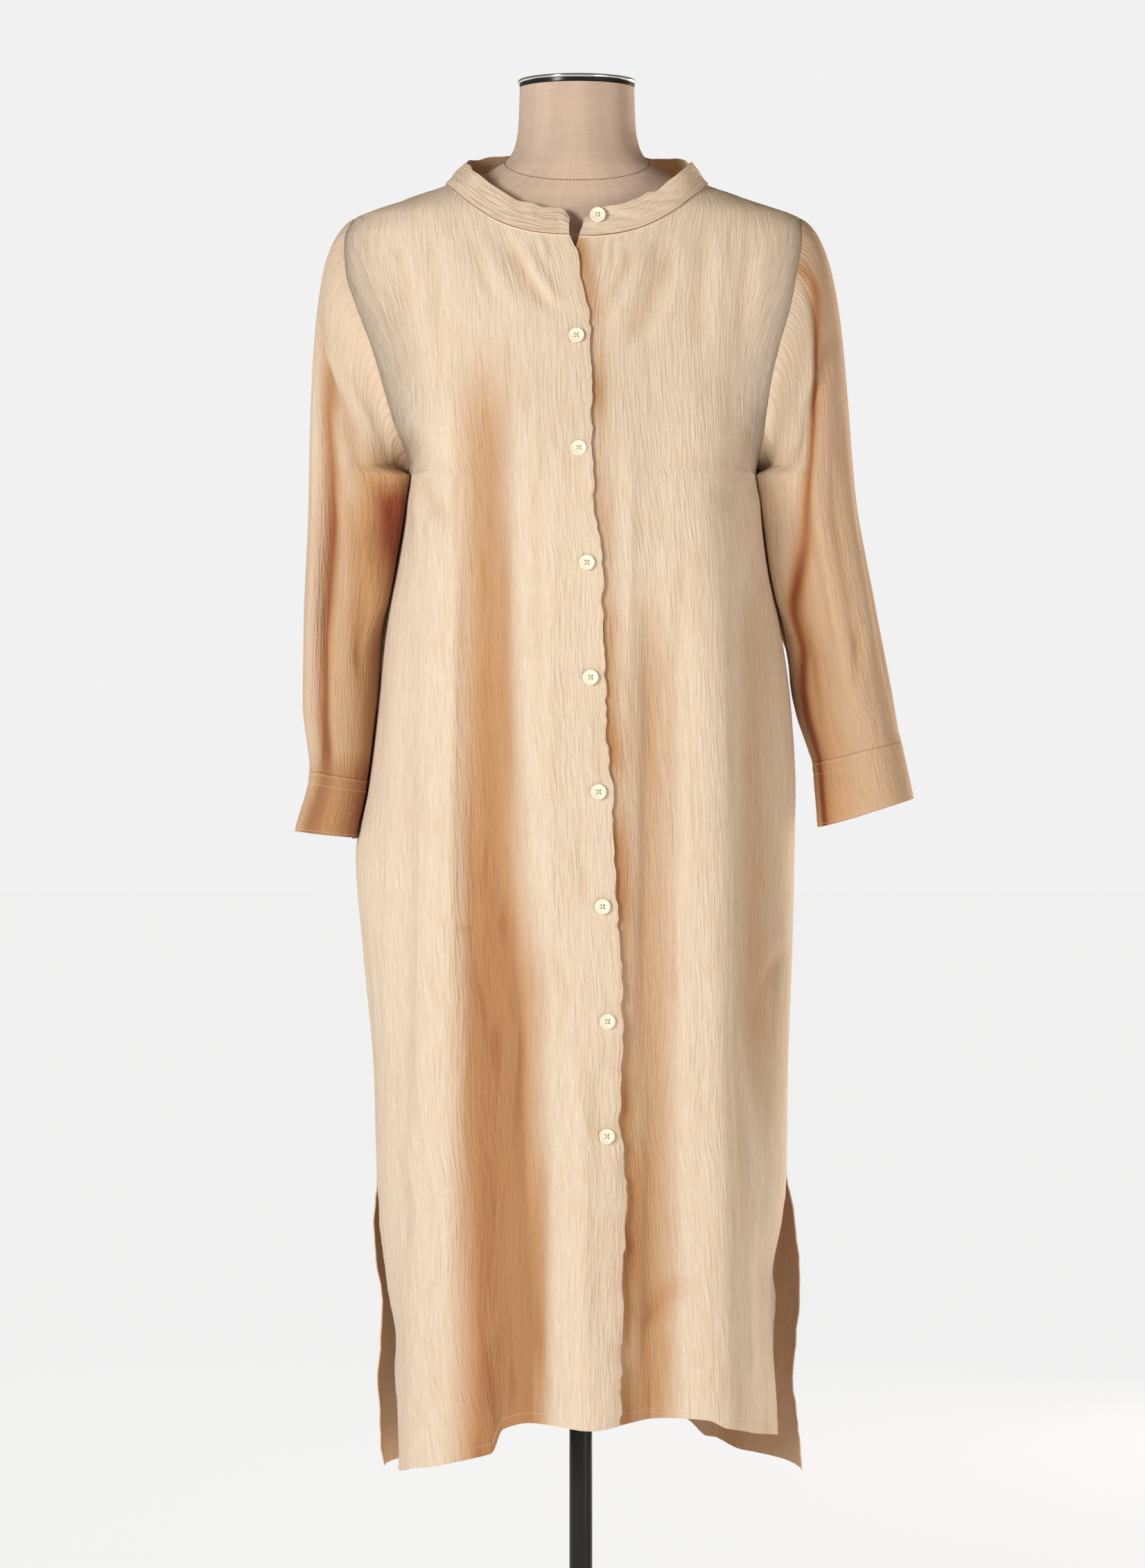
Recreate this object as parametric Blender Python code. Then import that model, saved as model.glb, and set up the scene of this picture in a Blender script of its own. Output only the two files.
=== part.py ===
"""A long button-through dress on a limbless dress form.

Metres, +Z up. The pole's axis is x = y = 0 and the underside of the foot is z = 0.
The wearer faces -Y, so the wearer's right side is at -X. Widths in the tables are
measured from the figure's own middle, which stands CENTRE_X beside the pole.
"""

import math
from collections import namedtuple

import bmesh
import bpy
import numpy as np
from mathutils import Matrix, Vector
from mathutils.bvhtree import BVHTree

# Cloth
WALL = 0.0016
CUFF_WALL = 0.0022
SEAM_GAP = 0.0004
PLACKET_WIDTH = 0.024
PLACKET_LIFT = WALL + 0.0014
PLACKET_FLAT = 0.028
PLACKET_FADE = 0.045
CENTRE_X = -0.0035
SECTION_POWER = 2.15
EDGE_FADE = 0.12
FOLD_START_FADE = 0.12
FOLD_END_FADE = 0.16
YOKE_BOTTOM = 1.220
YOKE_FADE = 0.160

# Heights
SHOULDER_TIP = 1.424
NECK_POINT = 1.4535
UNDERARM = 1.188
LEVEL = 1.100
TIP_STEP = 0.000001
RIDGE_STEP = 0.002
SLIT_TOP = 0.545
COLLAR_HEIGHT = 0.026
COLLAR_SEAM_GAP = 0.0005

# How far the collar band leans in from upright, in degrees, and how far its ends slant
COLLAR_LEAN = {"side": 46.0, "back": 5.0, -1: 30.0, 1: 12.0}
COLLAR_END_SLANT = {-1: 0.05, 1: 0.32}
COLLAR_END_REACH = 0.030
COLLAR_TURN = {"front": 0.075, "back": 0.062}

# Share of a panel's columns that end at the neckline and at the shoulder seam
NECK_SHARE = 0.38
SHOULDER_SHARE = 0.60

# Rows and columns of the grids
NECK_COLUMNS = {"front": 9, "back": 7}
NECK_CROWDING = 1.4
SHOULDER_COLUMNS = {"front": 5, "back": 4}
ARMHOLE_COLUMNS = 11
ARMHOLE_CROWDING = 1.5
LOWER_ROWS = 13
UPPER_ROWS = (1.0, 0.995, 0.982, 0.955, 0.905, 0.82, 0.67, 0.46, 0.23)
SLEEVE_AROUND = 2 * ARMHOLE_COLUMNS
SLEEVE_HEAD_ROWS = 8
SLEEVE_LOWER_ROWS = 7
CUFF_ROWS = 3
COLLAR_ROWS = 3
RIDGE_SAMPLES = 200
NECKLINE_ROUNDS = 12

# Buttons
BUTTON_RADIUS = 0.007
BUTTON_THICKNESS = 0.0028
BUTTON_HOLE_RADIUS = 0.0009
BUTTON_HOLE_PLACE = 0.0021
BUTTON_SEAT = 0.0003
BUTTON_SIDES = 16
COLLAR_BUTTON = (0.0185, 1.4185)
FIRST_BUTTON = 1.3086
BUTTON_PITCH = 0.1014
FASTENED_BUTTONS = 8

# Dress form
NECK_TOP = 1.5425
CAP_RADIUS = 0.0545
CAP_THICKNESS = 0.007
POLE_RADIUS = 0.0105
BASE_RADIUS = 0.150
BASE_THICKNESS = 0.010
BASE_COLLAR_RADIUS = 0.022
BASE_COLLAR_HEIGHT = 0.030
FIT_GAP = 0.0003
FORM_SIDES = 28
BASE_SIDES = 36
CAP_SIDES = 32
POLE_SIDES = 20

# Half widths of the front and the back to each side, and their depths at the middle.
# From the underarm up they are those of an oval that the armhole cuts short.
Section = namedtuple("Section", "height front_right front_left back_right back_left front back")
SECTIONS = (
    Section(0.270, 0.1625, 0.1845, 0.1745, 0.2065, 0.139, 0.137),
    Section(0.360, 0.1645, 0.1815, 0.1795, 0.1985, 0.138, 0.134),
    Section(0.410, 0.1655, 0.1785, 0.1785, 0.2010, 0.137, 0.132),
    Section(0.460, 0.1725, 0.1785, 0.1800, 0.2005, 0.136, 0.130),
    Section(0.520, 0.1795, 0.1880, 0.1835, 0.1975, 0.135, 0.129),
    Section(0.560, 0.1820, 0.1905, 0.1820, 0.1905, 0.134, 0.128),
    Section(0.646, 0.1845, 0.1915, 0.1845, 0.1915, 0.134, 0.127),
    Section(0.760, 0.1945, 0.1955, 0.1945, 0.1955, 0.134, 0.127),
    Section(0.845, 0.2010, 0.1975, 0.2010, 0.1975, 0.134, 0.126),
    Section(0.905, 0.1900, 0.1985, 0.1900, 0.1985, 0.133, 0.120),
    Section(0.978, 0.1805, 0.1945, 0.1805, 0.1945, 0.133, 0.112),
    Section(1.058, 0.1730, 0.1835, 0.1730, 0.1835, 0.134, 0.106),
    Section(1.109, 0.1640, 0.1735, 0.1640, 0.1735, 0.135, 0.103),
    Section(1.160, 0.1560, 0.1680, 0.1560, 0.1680, 0.134, 0.102),
    Section(1.196, 0.1540, 0.1665, 0.1540, 0.1665, 0.131, 0.103),
    Section(1.227, 0.1715, 0.1825, 0.1715, 0.1825, 0.125, 0.104),
    Section(1.259, 0.1905, 0.2005, 0.1905, 0.2005, 0.117, 0.105),
    Section(1.291, 0.2085, 0.2175, 0.2085, 0.2175, 0.109, 0.105),
    Section(1.327, 0.2250, 0.2315, 0.2250, 0.2315, 0.101, 0.103),
    Section(1.370, 0.2325, 0.2370, 0.2325, 0.2370, 0.092, 0.098),
    Section(1.402, 0.2255, 0.2275, 0.2255, 0.2275, 0.083, 0.091),
    Section(1.424, 0.2010, 0.2020, 0.2010, 0.2020, 0.077, 0.084),
    Section(1.440, 0.1570, 0.1565, 0.1570, 0.1565, 0.072, 0.077),
    Section(1.4535, 0.1185, 0.1185, 0.1185, 0.1185, 0.068, 0.070),
    Section(1.4575, 0.1075, 0.1080, 0.1075, 0.1080, 0.067, 0.068),
    Section(1.470, 0.0790, 0.0790, 0.0790, 0.0790, 0.064, 0.064),
)

# The armhole seam: how far from the middle it runs at each height.
Armhole = namedtuple("Armhole", "height front_right front_left back_right back_left")
ARMHOLE = (
    Armhole(1.188, 0.1540, 0.1670, 0.1540, 0.1670),
    Armhole(1.196, 0.1520, 0.1640, 0.1530, 0.1650),
    Armhole(1.227, 0.1585, 0.1640, 0.1620, 0.1700),
    Armhole(1.260, 0.1660, 0.1670, 0.1740, 0.1780),
    Armhole(1.300, 0.1770, 0.1750, 0.1870, 0.1880),
    Armhole(1.340, 0.1930, 0.1870, 0.1990, 0.1970),
    Armhole(1.370, 0.2045, 0.1945, 0.2060, 0.2020),
    Armhole(1.402, 0.2085, 0.2015, 0.2090, 0.2050),
    Armhole(1.424, 0.2015, 0.2025, 0.2015, 0.2025),
)

# Where the upper front's edge runs, from the middle towards the wearer's left, and how
# far the under front reaches back beneath it.
Closing = namedtuple("Closing", "height edge overlap")
CLOSING = (
    Closing(0.300, 0.0370, 0.0020),
    Closing(0.420, 0.0375, 0.0080),
    Closing(0.560, 0.0420, PLACKET_WIDTH),
    Closing(0.620, 0.0360, PLACKET_WIDTH),
    Closing(0.700, 0.0385, PLACKET_WIDTH),
    Closing(0.800, 0.0345, PLACKET_WIDTH),
    Closing(0.900, 0.0310, PLACKET_WIDTH),
    Closing(1.000, 0.0240, PLACKET_WIDTH),
    Closing(1.100, 0.0210, PLACKET_WIDTH),
    Closing(1.160, 0.0150, PLACKET_WIDTH),
    Closing(1.230, 0.0130, PLACKET_WIDTH),
    Closing(1.320, 0.0110, 0.0220),
    Closing(1.362, 0.0040, 0.0100),
    Closing(1.386, -0.0015, 0.0004),
    Closing(1.405, -0.0090, -0.0120),
)

# Lengthwise folds. across is measured on the panel from the figure's middle, depth is
# outwards, so a trough's is negative, and each fold fades in below its top.
Fold = namedtuple(
    "Fold", "top bottom top_across bottom_across top_width bottom_width top_depth bottom_depth"
)
FRONT_FOLDS = (
    Fold(1.330, 0.250, -0.084, -0.070, 0.020, 0.044, -0.010, -0.030),
    Fold(1.280, 0.250, -0.124, -0.121, 0.020, 0.030, 0.004, 0.012),
    Fold(1.300, 0.700, -0.048, -0.050, 0.026, 0.028, 0.003, 0.007),
    Fold(1.330, 0.250, 0.112, 0.118, 0.024, 0.028, 0.008, 0.020),
    Fold(1.120, 0.250, 0.078, 0.078, 0.020, 0.030, -0.006, -0.016),
    Fold(1.150, 0.560, 0.156, 0.160, 0.020, 0.022, -0.004, -0.010),
    Fold(0.760, 0.250, 0.000, -0.012, 0.030, 0.038, 0.002, 0.010),
    Fold(1.405, 1.200, -0.150, -0.128, 0.010, 0.018, -0.003, -0.003),
    Fold(1.405, 1.180, 0.140, 0.128, 0.010, 0.018, -0.003, -0.003),
)
BACK_FOLDS = (
    Fold(1.300, 0.250, -0.112, -0.118, 0.022, 0.032, 0.006, 0.018),
    Fold(1.260, 0.250, -0.064, -0.070, 0.020, 0.034, -0.006, -0.022),
    Fold(1.180, 0.250, -0.016, -0.022, 0.024, 0.034, 0.004, 0.014),
    Fold(1.240, 0.250, 0.036, 0.032, 0.020, 0.032, -0.006, -0.020),
    Fold(1.300, 0.250, 0.086, 0.090, 0.022, 0.034, 0.006, 0.018),
    Fold(1.150, 0.250, 0.138, 0.144, 0.020, 0.028, -0.004, -0.014),
    Fold(1.400, 1.180, -0.146, -0.132, 0.012, 0.018, -0.003, -0.003),
    Fold(1.400, 1.180, 0.146, 0.134, 0.012, 0.018, -0.003, -0.003),
)

# Hem: height at the middle, and how much lower it hangs towards each side.
Hem = namedtuple("Hem", "middle drop_right drop_left power")
FRONT_HEM = Hem(0.342, 0.056, 0.036, 3.0)
BACK_HEM = Hem(0.304, 0.020, 0.032, 3.0)

# Neckline of the fronts: height at the middle and how fast it climbs to the shoulder.
NECKLINE_FRONT = 1.4000
NECKLINE_POWER = 2.6
NECKLINE_BACK = 1.4620

# Sleeves below the armhole, each row across its opening: the outer and the inner side,
# the front and the back, how much higher the outer side lies, and the fold in the front.
SleeveRow = namedtuple("SleeveRow", "height outer inner front back tilt fold")
SLEEVE_RIGHT = (
    SleeveRow(1.140, 0.2460, 0.1590, -0.052, 0.068, 0.002, 0.016),
    SleeveRow(1.050, 0.2500, 0.1720, -0.048, 0.066, 0.004, 0.018),
    SleeveRow(0.980, 0.2505, 0.1800, -0.042, 0.062, 0.006, 0.015),
    SleeveRow(0.917, 0.2440, 0.1870, -0.036, 0.054, 0.009, 0.007),
    SleeveRow(0.864, 0.2570, 0.1960, -0.040, 0.056, 0.007, 0.003),
)
SLEEVE_LEFT = (
    SleeveRow(1.140, 0.2580, 0.1690, -0.052, 0.068, 0.006, 0.012),
    SleeveRow(1.050, 0.2750, 0.1850, -0.048, 0.066, 0.010, 0.014),
    SleeveRow(0.980, 0.2880, 0.2000, -0.044, 0.060, 0.014, 0.012),
    SleeveRow(0.939, 0.2950, 0.2140, -0.040, 0.050, 0.019, 0.006),
    SleeveRow(0.884, 0.3060, 0.2190, -0.044, 0.052, 0.026, 0.003),
)
SLEEVE_END_ROW = 3
SLEEVE_FOLD_ANGLE = {-1: 42.0, 1: 108.0}
SLEEVE_FOLD_SPREAD = 24.0
SLEEVE_CLEAR = 0.0030
SLEEVE_HEAD_OUT = {"under": 0.050, "over": 0.140}
SLEEVE_HEAD_DOWN = {"under": 0.024, "over": 0.060}
SLEEVE_FALL = {"under": 0.084, "over": 0.240}
SLEEVE_FALL_STEP = 0.020
SLEEVE_SEAM_SHIFT = {"under": SEAM_GAP, "over": 2 * SEAM_GAP}

# Torso of the form, with its neck: half width and depths at each height.
FormRow = namedtuple("FormRow", "height half front back")
FORM = (
    FormRow(0.800, 0.130, 0.074, 0.080),
    FormRow(0.804, 0.142, 0.083, 0.089),
    FormRow(0.815, 0.151, 0.090, 0.096),
    FormRow(0.850, 0.160, 0.095, 0.101),
    FormRow(0.890, 0.163, 0.096, 0.101),
    FormRow(0.940, 0.158, 0.095, 0.095),
    FormRow(1.000, 0.140, 0.092, 0.084),
    FormRow(1.060, 0.124, 0.092, 0.077),
    FormRow(1.120, 0.128, 0.102, 0.078),
    FormRow(1.180, 0.142, 0.117, 0.084),
    FormRow(1.220, 0.148, 0.115, 0.090),
    FormRow(1.270, 0.155, 0.104, 0.096),
    FormRow(1.320, 0.165, 0.093, 0.095),
    FormRow(1.360, 0.174, 0.084, 0.088),
    FormRow(1.390, 0.180, 0.075, 0.080),
    FormRow(1.410, 0.180, 0.0685, 0.074),
    FormRow(1.424, 0.173, 0.0650, 0.071),
    FormRow(1.4300, 0.1620, 0.0640, 0.070),
    FormRow(1.4382, 0.1545, 0.0620, 0.068),
    FormRow(1.4453, 0.1345, 0.0610, 0.066),
    FormRow(1.4511, 0.1155, 0.0600, 0.065),
    FormRow(1.4580, 0.0960, 0.0590, 0.063),
    FormRow(1.4680, 0.0770, 0.0580, 0.061),
    FormRow(1.4765, 0.0640, 0.0570, 0.059),
    FormRow(1.4880, 0.0570, 0.0550, 0.056),
    FormRow(1.5060, 0.0535, 0.0530, 0.053),
    FormRow(NECK_TOP, 0.0520, 0.0520, 0.052),
)

Finish = namedtuple("Finish", "colour roughness metallic")
FINISHES = {
    "cloth": Finish((0.80, 0.62, 0.45), 0.85, 0.0),
    "button": Finish((0.80, 0.72, 0.52), 0.35, 0.0),
    "linen": Finish((0.56, 0.38, 0.25), 0.90, 0.0),
    "chrome": Finish((0.75, 0.74, 0.72), 0.15, 1.0),
    "black": Finish((0.012, 0.012, 0.012), 0.20, 0.0),
}


def smooth_curve(places, values):
    """A smooth curve through the rows that never swings past them."""
    places = np.asarray(places, float)
    values = np.asarray(values, float)
    steps = np.diff(places)
    rises = np.diff(values) / steps
    slopes = np.zeros_like(values)
    slopes[0] = rises[0]
    slopes[-1] = rises[-1]
    for i in range(1, len(values) - 1):
        if rises[i - 1] * rises[i] > 0:
            before = 2 * steps[i] + steps[i - 1]
            after = steps[i] + 2 * steps[i - 1]
            slopes[i] = (before + after) / (before / rises[i - 1] + after / rises[i])

    def at(place):
        place = np.clip(place, places[0], places[-1])
        i = np.clip(np.searchsorted(places, place) - 1, 0, len(steps) - 1)
        h = steps[i]
        t = (place - places[i]) / h
        start = (1 + 2 * t) * (1 - t) ** 2 * values[i] + t * (1 - t) ** 2 * h * slopes[i]
        end = t**2 * (3 - 2 * t) * values[i + 1] + t**2 * (t - 1) * h * slopes[i + 1]
        return start + end

    return at


def column_curves(rows):
    """One smooth curve over height for each named column of a table."""
    heights = [row.height for row in rows]
    names = [name for name in rows[0]._fields if name != "height"]
    return {name: smooth_curve(heights, [getattr(row, name) for row in rows]) for name in names}


def fade(value):
    """0 below 0, 1 above 1, smooth between."""
    t = np.clip(value, 0.0, 1.0)
    return t * t * (3 - 2 * t)


BODY = column_curves(SECTIONS)
SEAM = column_curves(ARMHOLE)
CENTRE = column_curves(CLOSING)
SLEEVES = {-1: column_curves(SLEEVE_RIGHT[::-1]), 1: column_curves(SLEEVE_LEFT[::-1])}
SLEEVE_ROWS = {-1: SLEEVE_RIGHT, 1: SLEEVE_LEFT}
SIDE_NAME = {-1: "right", 1: "left"}
FACE_SIGN = {"front": -1.0, "back": 1.0}
FOLDS = {"front": FRONT_FOLDS, "back": BACK_FOLDS}


def half_width(face, side, height):
    return BODY[face + "_" + SIDE_NAME[side]](height)


def seam_width(face, side, height):
    """Distance from the middle to the armhole, the side seam or the shoulder ridge."""
    inside = SEAM[face + "_" + SIDE_NAME[side]](height)
    in_armhole = (height < SHOULDER_TIP) & (height > UNDERARM)
    return np.where(in_armhole, inside, half_width(face, side, height))


def ridge_height(side, across):
    """Height of the shoulder ridge at a distance from the middle."""
    heights = np.linspace(SECTIONS[-1].height, SHOULDER_TIP - RIDGE_STEP, RIDGE_SAMPLES)
    return np.interp(across, half_width("front", side, heights), heights)


def fold_depth(face, across, height):
    """How far the folds carry the cloth outwards at a place on a panel."""
    total = np.zeros(np.broadcast(across, height).shape)
    for fold in FOLDS[face]:
        down = np.clip((fold.top - height) / (fold.top - fold.bottom), 0.0, 1.0)
        middle = fold.top_across + (fold.bottom_across - fold.top_across) * down
        width = fold.top_width + (fold.bottom_width - fold.top_width) * down
        depth = fold.top_depth + (fold.bottom_depth - fold.top_depth) * down
        depth = depth * fade((fold.top - height) / FOLD_START_FADE)
        if fold.bottom > SECTIONS[0].height:
            depth = depth * fade((height - fold.bottom) / FOLD_END_FADE)
        reach = np.clip(np.abs(across - middle) / (2 * width), 0.0, 1.0)
        total = total + depth * np.cos(0.5 * math.pi * reach) ** 2
    return total


def body_point(face, side, across, height):
    """Outer point of the cloth, from a signed distance across and a height."""
    half = half_width(face, side, height)
    depth = BODY[face](height)
    share = np.clip(np.abs(across) / half, 0.0, 1.0)
    out = depth * (1 - share**SECTION_POWER) ** (1 / SECTION_POWER)
    edge = fade((1 - share) / EDGE_FADE)
    slope_x = np.sign(across) * share / half
    slope_y = np.sqrt(np.clip(1 - share**2, 0.0, 1.0)) / depth
    length = np.hypot(slope_x, slope_y)
    moved = fold_depth(face, across, height) * edge
    x = across + moved * slope_x / length
    y = FACE_SIGN[face] * (out + moved * slope_y / length + SEAM_GAP / 2)
    return np.stack([x, y, np.broadcast_to(height, x.shape)], axis=-1)


def boundary_share(side, height):
    """Which share of a panel's columns is still inside its edge at a height."""
    down = np.clip((SHOULDER_TIP - height) / (SHOULDER_TIP - UNDERARM), 0.0, 1.0)
    armhole = SHOULDER_SHARE + (1 - SHOULDER_SHARE) * down ** (1 / ARMHOLE_CROWDING)
    tip = half_width("front", side, SHOULDER_TIP)
    neck = half_width("front", side, NECK_POINT)
    along = (half_width("front", side, height) - neck) / (tip - neck)
    shoulder = NECK_SHARE + (SHOULDER_SHARE - NECK_SHARE) * along
    return np.where(height > SHOULDER_TIP, shoulder, armhole)


def armhole_height(along):
    """Height on the armhole seam, from 0 at the shoulder's tip to 1 under the arm."""
    return SHOULDER_TIP - TIP_STEP - (SHOULDER_TIP - UNDERARM) * along**ARMHOLE_CROWDING


def across_at(face, side, share, height, edge):
    """Signed distance across of a column at a height; edge is where column 0 runs."""
    boundary = seam_width(face, side, height)
    inner = np.clip(share / boundary_share(side, height), 0.0, 1.0)
    turn = np.arcsin(np.clip(boundary / half_width(face, side, height), 0.0, 1.0))
    round_spread = np.sin(turn * inner) / np.sin(turn)
    flat = fade((height - YOKE_BOTTOM) / YOKE_FADE)
    spread = round_spread * (1 - flat) + inner * flat
    return edge + (side * boundary - edge) * spread


def neckline_height(face, side, across):
    neck = half_width("front", side, NECK_POINT)
    share = np.clip(np.abs(across) / neck, 0.0, 1.0)
    if face == "back":
        return NECK_POINT + (NECKLINE_BACK - NECK_POINT) * (1 - share**2)
    return NECKLINE_FRONT + (NECK_POINT - NECKLINE_FRONT) * share**NECKLINE_POWER


def top_height(face, side, share, edge_at):
    """Height at which a column meets the neckline, the shoulder seam or the armhole."""
    if share >= SHOULDER_SHARE:
        return armhole_height((share - SHOULDER_SHARE) / (1 - SHOULDER_SHARE))
    if share >= NECK_SHARE:
        tip = half_width("front", side, SHOULDER_TIP)
        neck = half_width("front", side, NECK_POINT)
        along = (share - NECK_SHARE) / (SHOULDER_SHARE - NECK_SHARE)
        return float(ridge_height(side, neck + (tip - neck) * along))
    height = NECKLINE_FRONT if face == "front" else NECKLINE_BACK
    for _ in range(NECKLINE_ROUNDS):
        across = across_at(face, side, share, height, edge_at(height))
        height = float(neckline_height(face, side, across))
    return height


def hem_height(face, side, across):
    hem = FRONT_HEM if face == "front" else BACK_HEM
    drop = hem.drop_right if side < 0 else hem.drop_left
    half = half_width(face, side, hem.middle)
    return hem.middle - drop * np.clip(np.abs(across) / half, 0.0, 1.0) ** hem.power


def column_shares(face):
    """Where a panel's columns start along its top, with one on each corner of it."""
    steps = np.linspace(1.0, 0.0, NECK_COLUMNS[face] + 1)
    neck = NECK_SHARE * (1 - steps**NECK_CROWDING)
    shoulder = np.linspace(NECK_SHARE, SHOULDER_SHARE, SHOULDER_COLUMNS[face] + 1)[1:]
    armhole = np.linspace(SHOULDER_SHARE, 1.0, ARMHOLE_COLUMNS + 1)[1:]
    return np.concatenate([neck, shoulder, armhole])


def half_panel(face, side, edge_at):
    """Outer points from a panel's inner edge to its side seam, rows from top to hem."""
    grid = []
    for share in column_shares(face):
        top = top_height(face, side, share, edge_at)
        across = across_at(face, side, share, LEVEL, edge_at(LEVEL))
        hem = hem_height(face, side, across)
        upper = LEVEL + (top - LEVEL) * np.array(UPPER_ROWS)
        lower = LEVEL + (hem - LEVEL) * np.linspace(0.0, 1.0, LOWER_ROWS + 1)
        heights = np.concatenate([upper, lower])
        across = across_at(face, side, share, heights, edge_at(heights))
        grid.append(body_point(face, side, across, heights))
    return np.array(grid)


def normals_of(grid, ring=False):
    """Unit normals of a grid of points, from its neighbours each way."""
    if ring:
        around = np.roll(grid, -1, axis=0) - np.roll(grid, 1, axis=0)
    else:
        around = np.gradient(grid, axis=0)
    along = np.gradient(grid, axis=1)
    normal = np.cross(around, along)
    return normal / np.linalg.norm(normal, axis=-1, keepdims=True)


def wall_mesh(name, outer, normals, wall, ring=False):
    """A closed mesh: the grid, the same grid moved in by the wall, and its rims."""
    inner = outer - normals * wall
    columns, rows = outer.shape[:2]
    points = np.concatenate([outer.reshape(-1, 3), inner.reshape(-1, 3)])
    points = points + np.array([CENTRE_X, 0.0, 0.0])
    deep = columns * rows

    def at(i, j, layer):
        return (i % columns) * rows + j + layer * deep

    faces = []
    steps = columns if ring else columns - 1
    for i in range(steps):
        for j in range(rows - 1):
            faces.append((at(i, j, 0), at(i + 1, j, 0), at(i + 1, j + 1, 0), at(i, j + 1, 0)))
            faces.append((at(i, j, 1), at(i, j + 1, 1), at(i + 1, j + 1, 1), at(i + 1, j, 1)))
        last = rows - 1
        faces.append((at(i, 0, 0), at(i, 0, 1), at(i + 1, 0, 1), at(i + 1, 0, 0)))
        faces.append((at(i, last, 0), at(i + 1, last, 0), at(i + 1, last, 1), at(i, last, 1)))
    if not ring:
        last = columns - 1
        for j in range(rows - 1):
            faces.append((at(0, j, 0), at(0, j + 1, 0), at(0, j + 1, 1), at(0, j, 1)))
            faces.append(
                (at(last, j, 0), at(last, j, 1), at(last, j + 1, 1), at(last, j + 1, 0))
            )
    mesh = bpy.data.meshes.new(name)
    mesh.from_pydata([tuple(p) for p in points], [], faces)
    return mesh


def finish_material(name):
    """The Principled material of one finish, made once."""
    found = bpy.data.materials.get(name)
    if found:
        return found
    finish = FINISHES[name]
    material = bpy.data.materials.new(name)
    material.use_nodes = True
    shader = material.node_tree.nodes["Principled BSDF"]
    shader.inputs["Base Color"].default_value = (*finish.colour, 1.0)
    shader.inputs["Roughness"].default_value = finish.roughness
    shader.inputs["Metallic"].default_value = finish.metallic
    return material


def place(name, mesh, finish, sharp_angle=50.0):
    """Adds a mesh to the scene as a smooth-shaded object facing out."""
    work = bmesh.new()
    work.from_mesh(mesh)
    bmesh.ops.recalc_face_normals(work, faces=work.faces)
    work.to_mesh(mesh)
    work.free()
    mesh.shade_smooth()
    mesh.set_sharp_from_angle(angle=math.radians(sharp_angle))
    obj = bpy.data.objects.new(name, mesh)
    obj.data.materials.append(finish_material(finish))
    bpy.context.collection.objects.link(obj)
    return obj


def flatten_seams(normals, shares):
    """At shoulder and side seams the wall's rim lies square to the seam."""
    for i, share in enumerate(shares):
        if NECK_SHARE <= abs(share) <= SHOULDER_SHARE + 0.001:
            normals[i, 0, 1] = 0.0
        if abs(share) > 0.999:
            normals[i, :, 1] = 0.0
    return normals / np.linalg.norm(normals, axis=-1, keepdims=True)


def front_edge(height):
    return CENTRE["edge"](height)


def under_edge(height):
    return CENTRE["edge"](height) - CENTRE["overlap"](height)


def front_right_grid():
    """Points and normals of the upper front, raised along its edge to clear the other."""
    grid = half_panel("front", -1, front_edge)
    normals = flatten_seams(normals_of(grid), column_shares("front"))
    distance = front_edge(grid[..., 2]) - grid[..., 0]
    lift = PLACKET_LIFT * (1 - fade((distance - PLACKET_FLAT) / PLACKET_FADE))
    return grid + normals * lift[..., None], normals


def front_left_grid():
    """Points and normals of the under front."""
    grid = half_panel("front", 1, under_edge)
    return grid, flatten_seams(-normals_of(grid), column_shares("front"))


def middle_edge(height):
    return np.zeros_like(height)


def back_grid():
    """Points and normals of the back, from the wearer's right side seam to the left."""
    right = half_panel("back", -1, middle_edge)[::-1]
    left = half_panel("back", 1, middle_edge)[1:]
    grid = np.concatenate([right, left])
    shares = np.concatenate([-column_shares("back")[::-1], column_shares("back")[1:]])
    return grid, flatten_seams(normals_of(grid), shares)


def build_panel(name, grid, normals):
    return place(name, wall_mesh(name, grid, normals, WALL), "cloth")


def neckline_points(front_right, back, front_left):
    """The panels' top points along the neckline, from one end of the collar to the other."""
    middle = len(back) // 2
    reach = NECK_COLUMNS["back"]
    return np.concatenate(
        [
            front_right[: NECK_COLUMNS["front"] + 1, 0],
            back[middle - reach + 1 : middle + reach, 0],
            front_left[NECK_COLUMNS["front"] :: -1, 0],
        ]
    )


def collar_direction(point, ends):
    """The way the band rises from a point of the neckline."""
    side = -1 if point[0] < 0 else 1
    to_front = fade(-point[1] / COLLAR_TURN["front"])
    to_back = fade(point[1] / COLLAR_TURN["back"])
    lean = COLLAR_LEAN["side"]
    lean += (COLLAR_LEAN[side] - lean) * to_front + (COLLAR_LEAN["back"] - lean) * to_back
    inward = -point * np.array([1.0, 1.0, 0.0])
    inward = inward / np.linalg.norm(inward)
    lean = math.radians(lean)
    direction = inward * math.sin(lean) + np.array([0.0, 0.0, math.cos(lean)])
    if point[1] < 0:
        from_end = abs(point[0] - ends[side])
        direction[0] += side * COLLAR_END_SLANT[side] * (1 - fade(from_end / COLLAR_END_REACH))
    return direction


def build_collar(line):
    ends = {-1: line[0, 0], 1: line[-1, 0]}
    grid = np.zeros((len(line), COLLAR_ROWS + 1, 3))
    for i, point in enumerate(line):
        direction = collar_direction(point, ends)
        for j in range(COLLAR_ROWS + 1):
            rise = COLLAR_SEAM_GAP + COLLAR_HEIGHT * j / COLLAR_ROWS
            grid[i, j] = point + direction * rise
    return place("collar_band", wall_mesh("collar_band", grid, normals_of(grid), WALL), "cloth")


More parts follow.
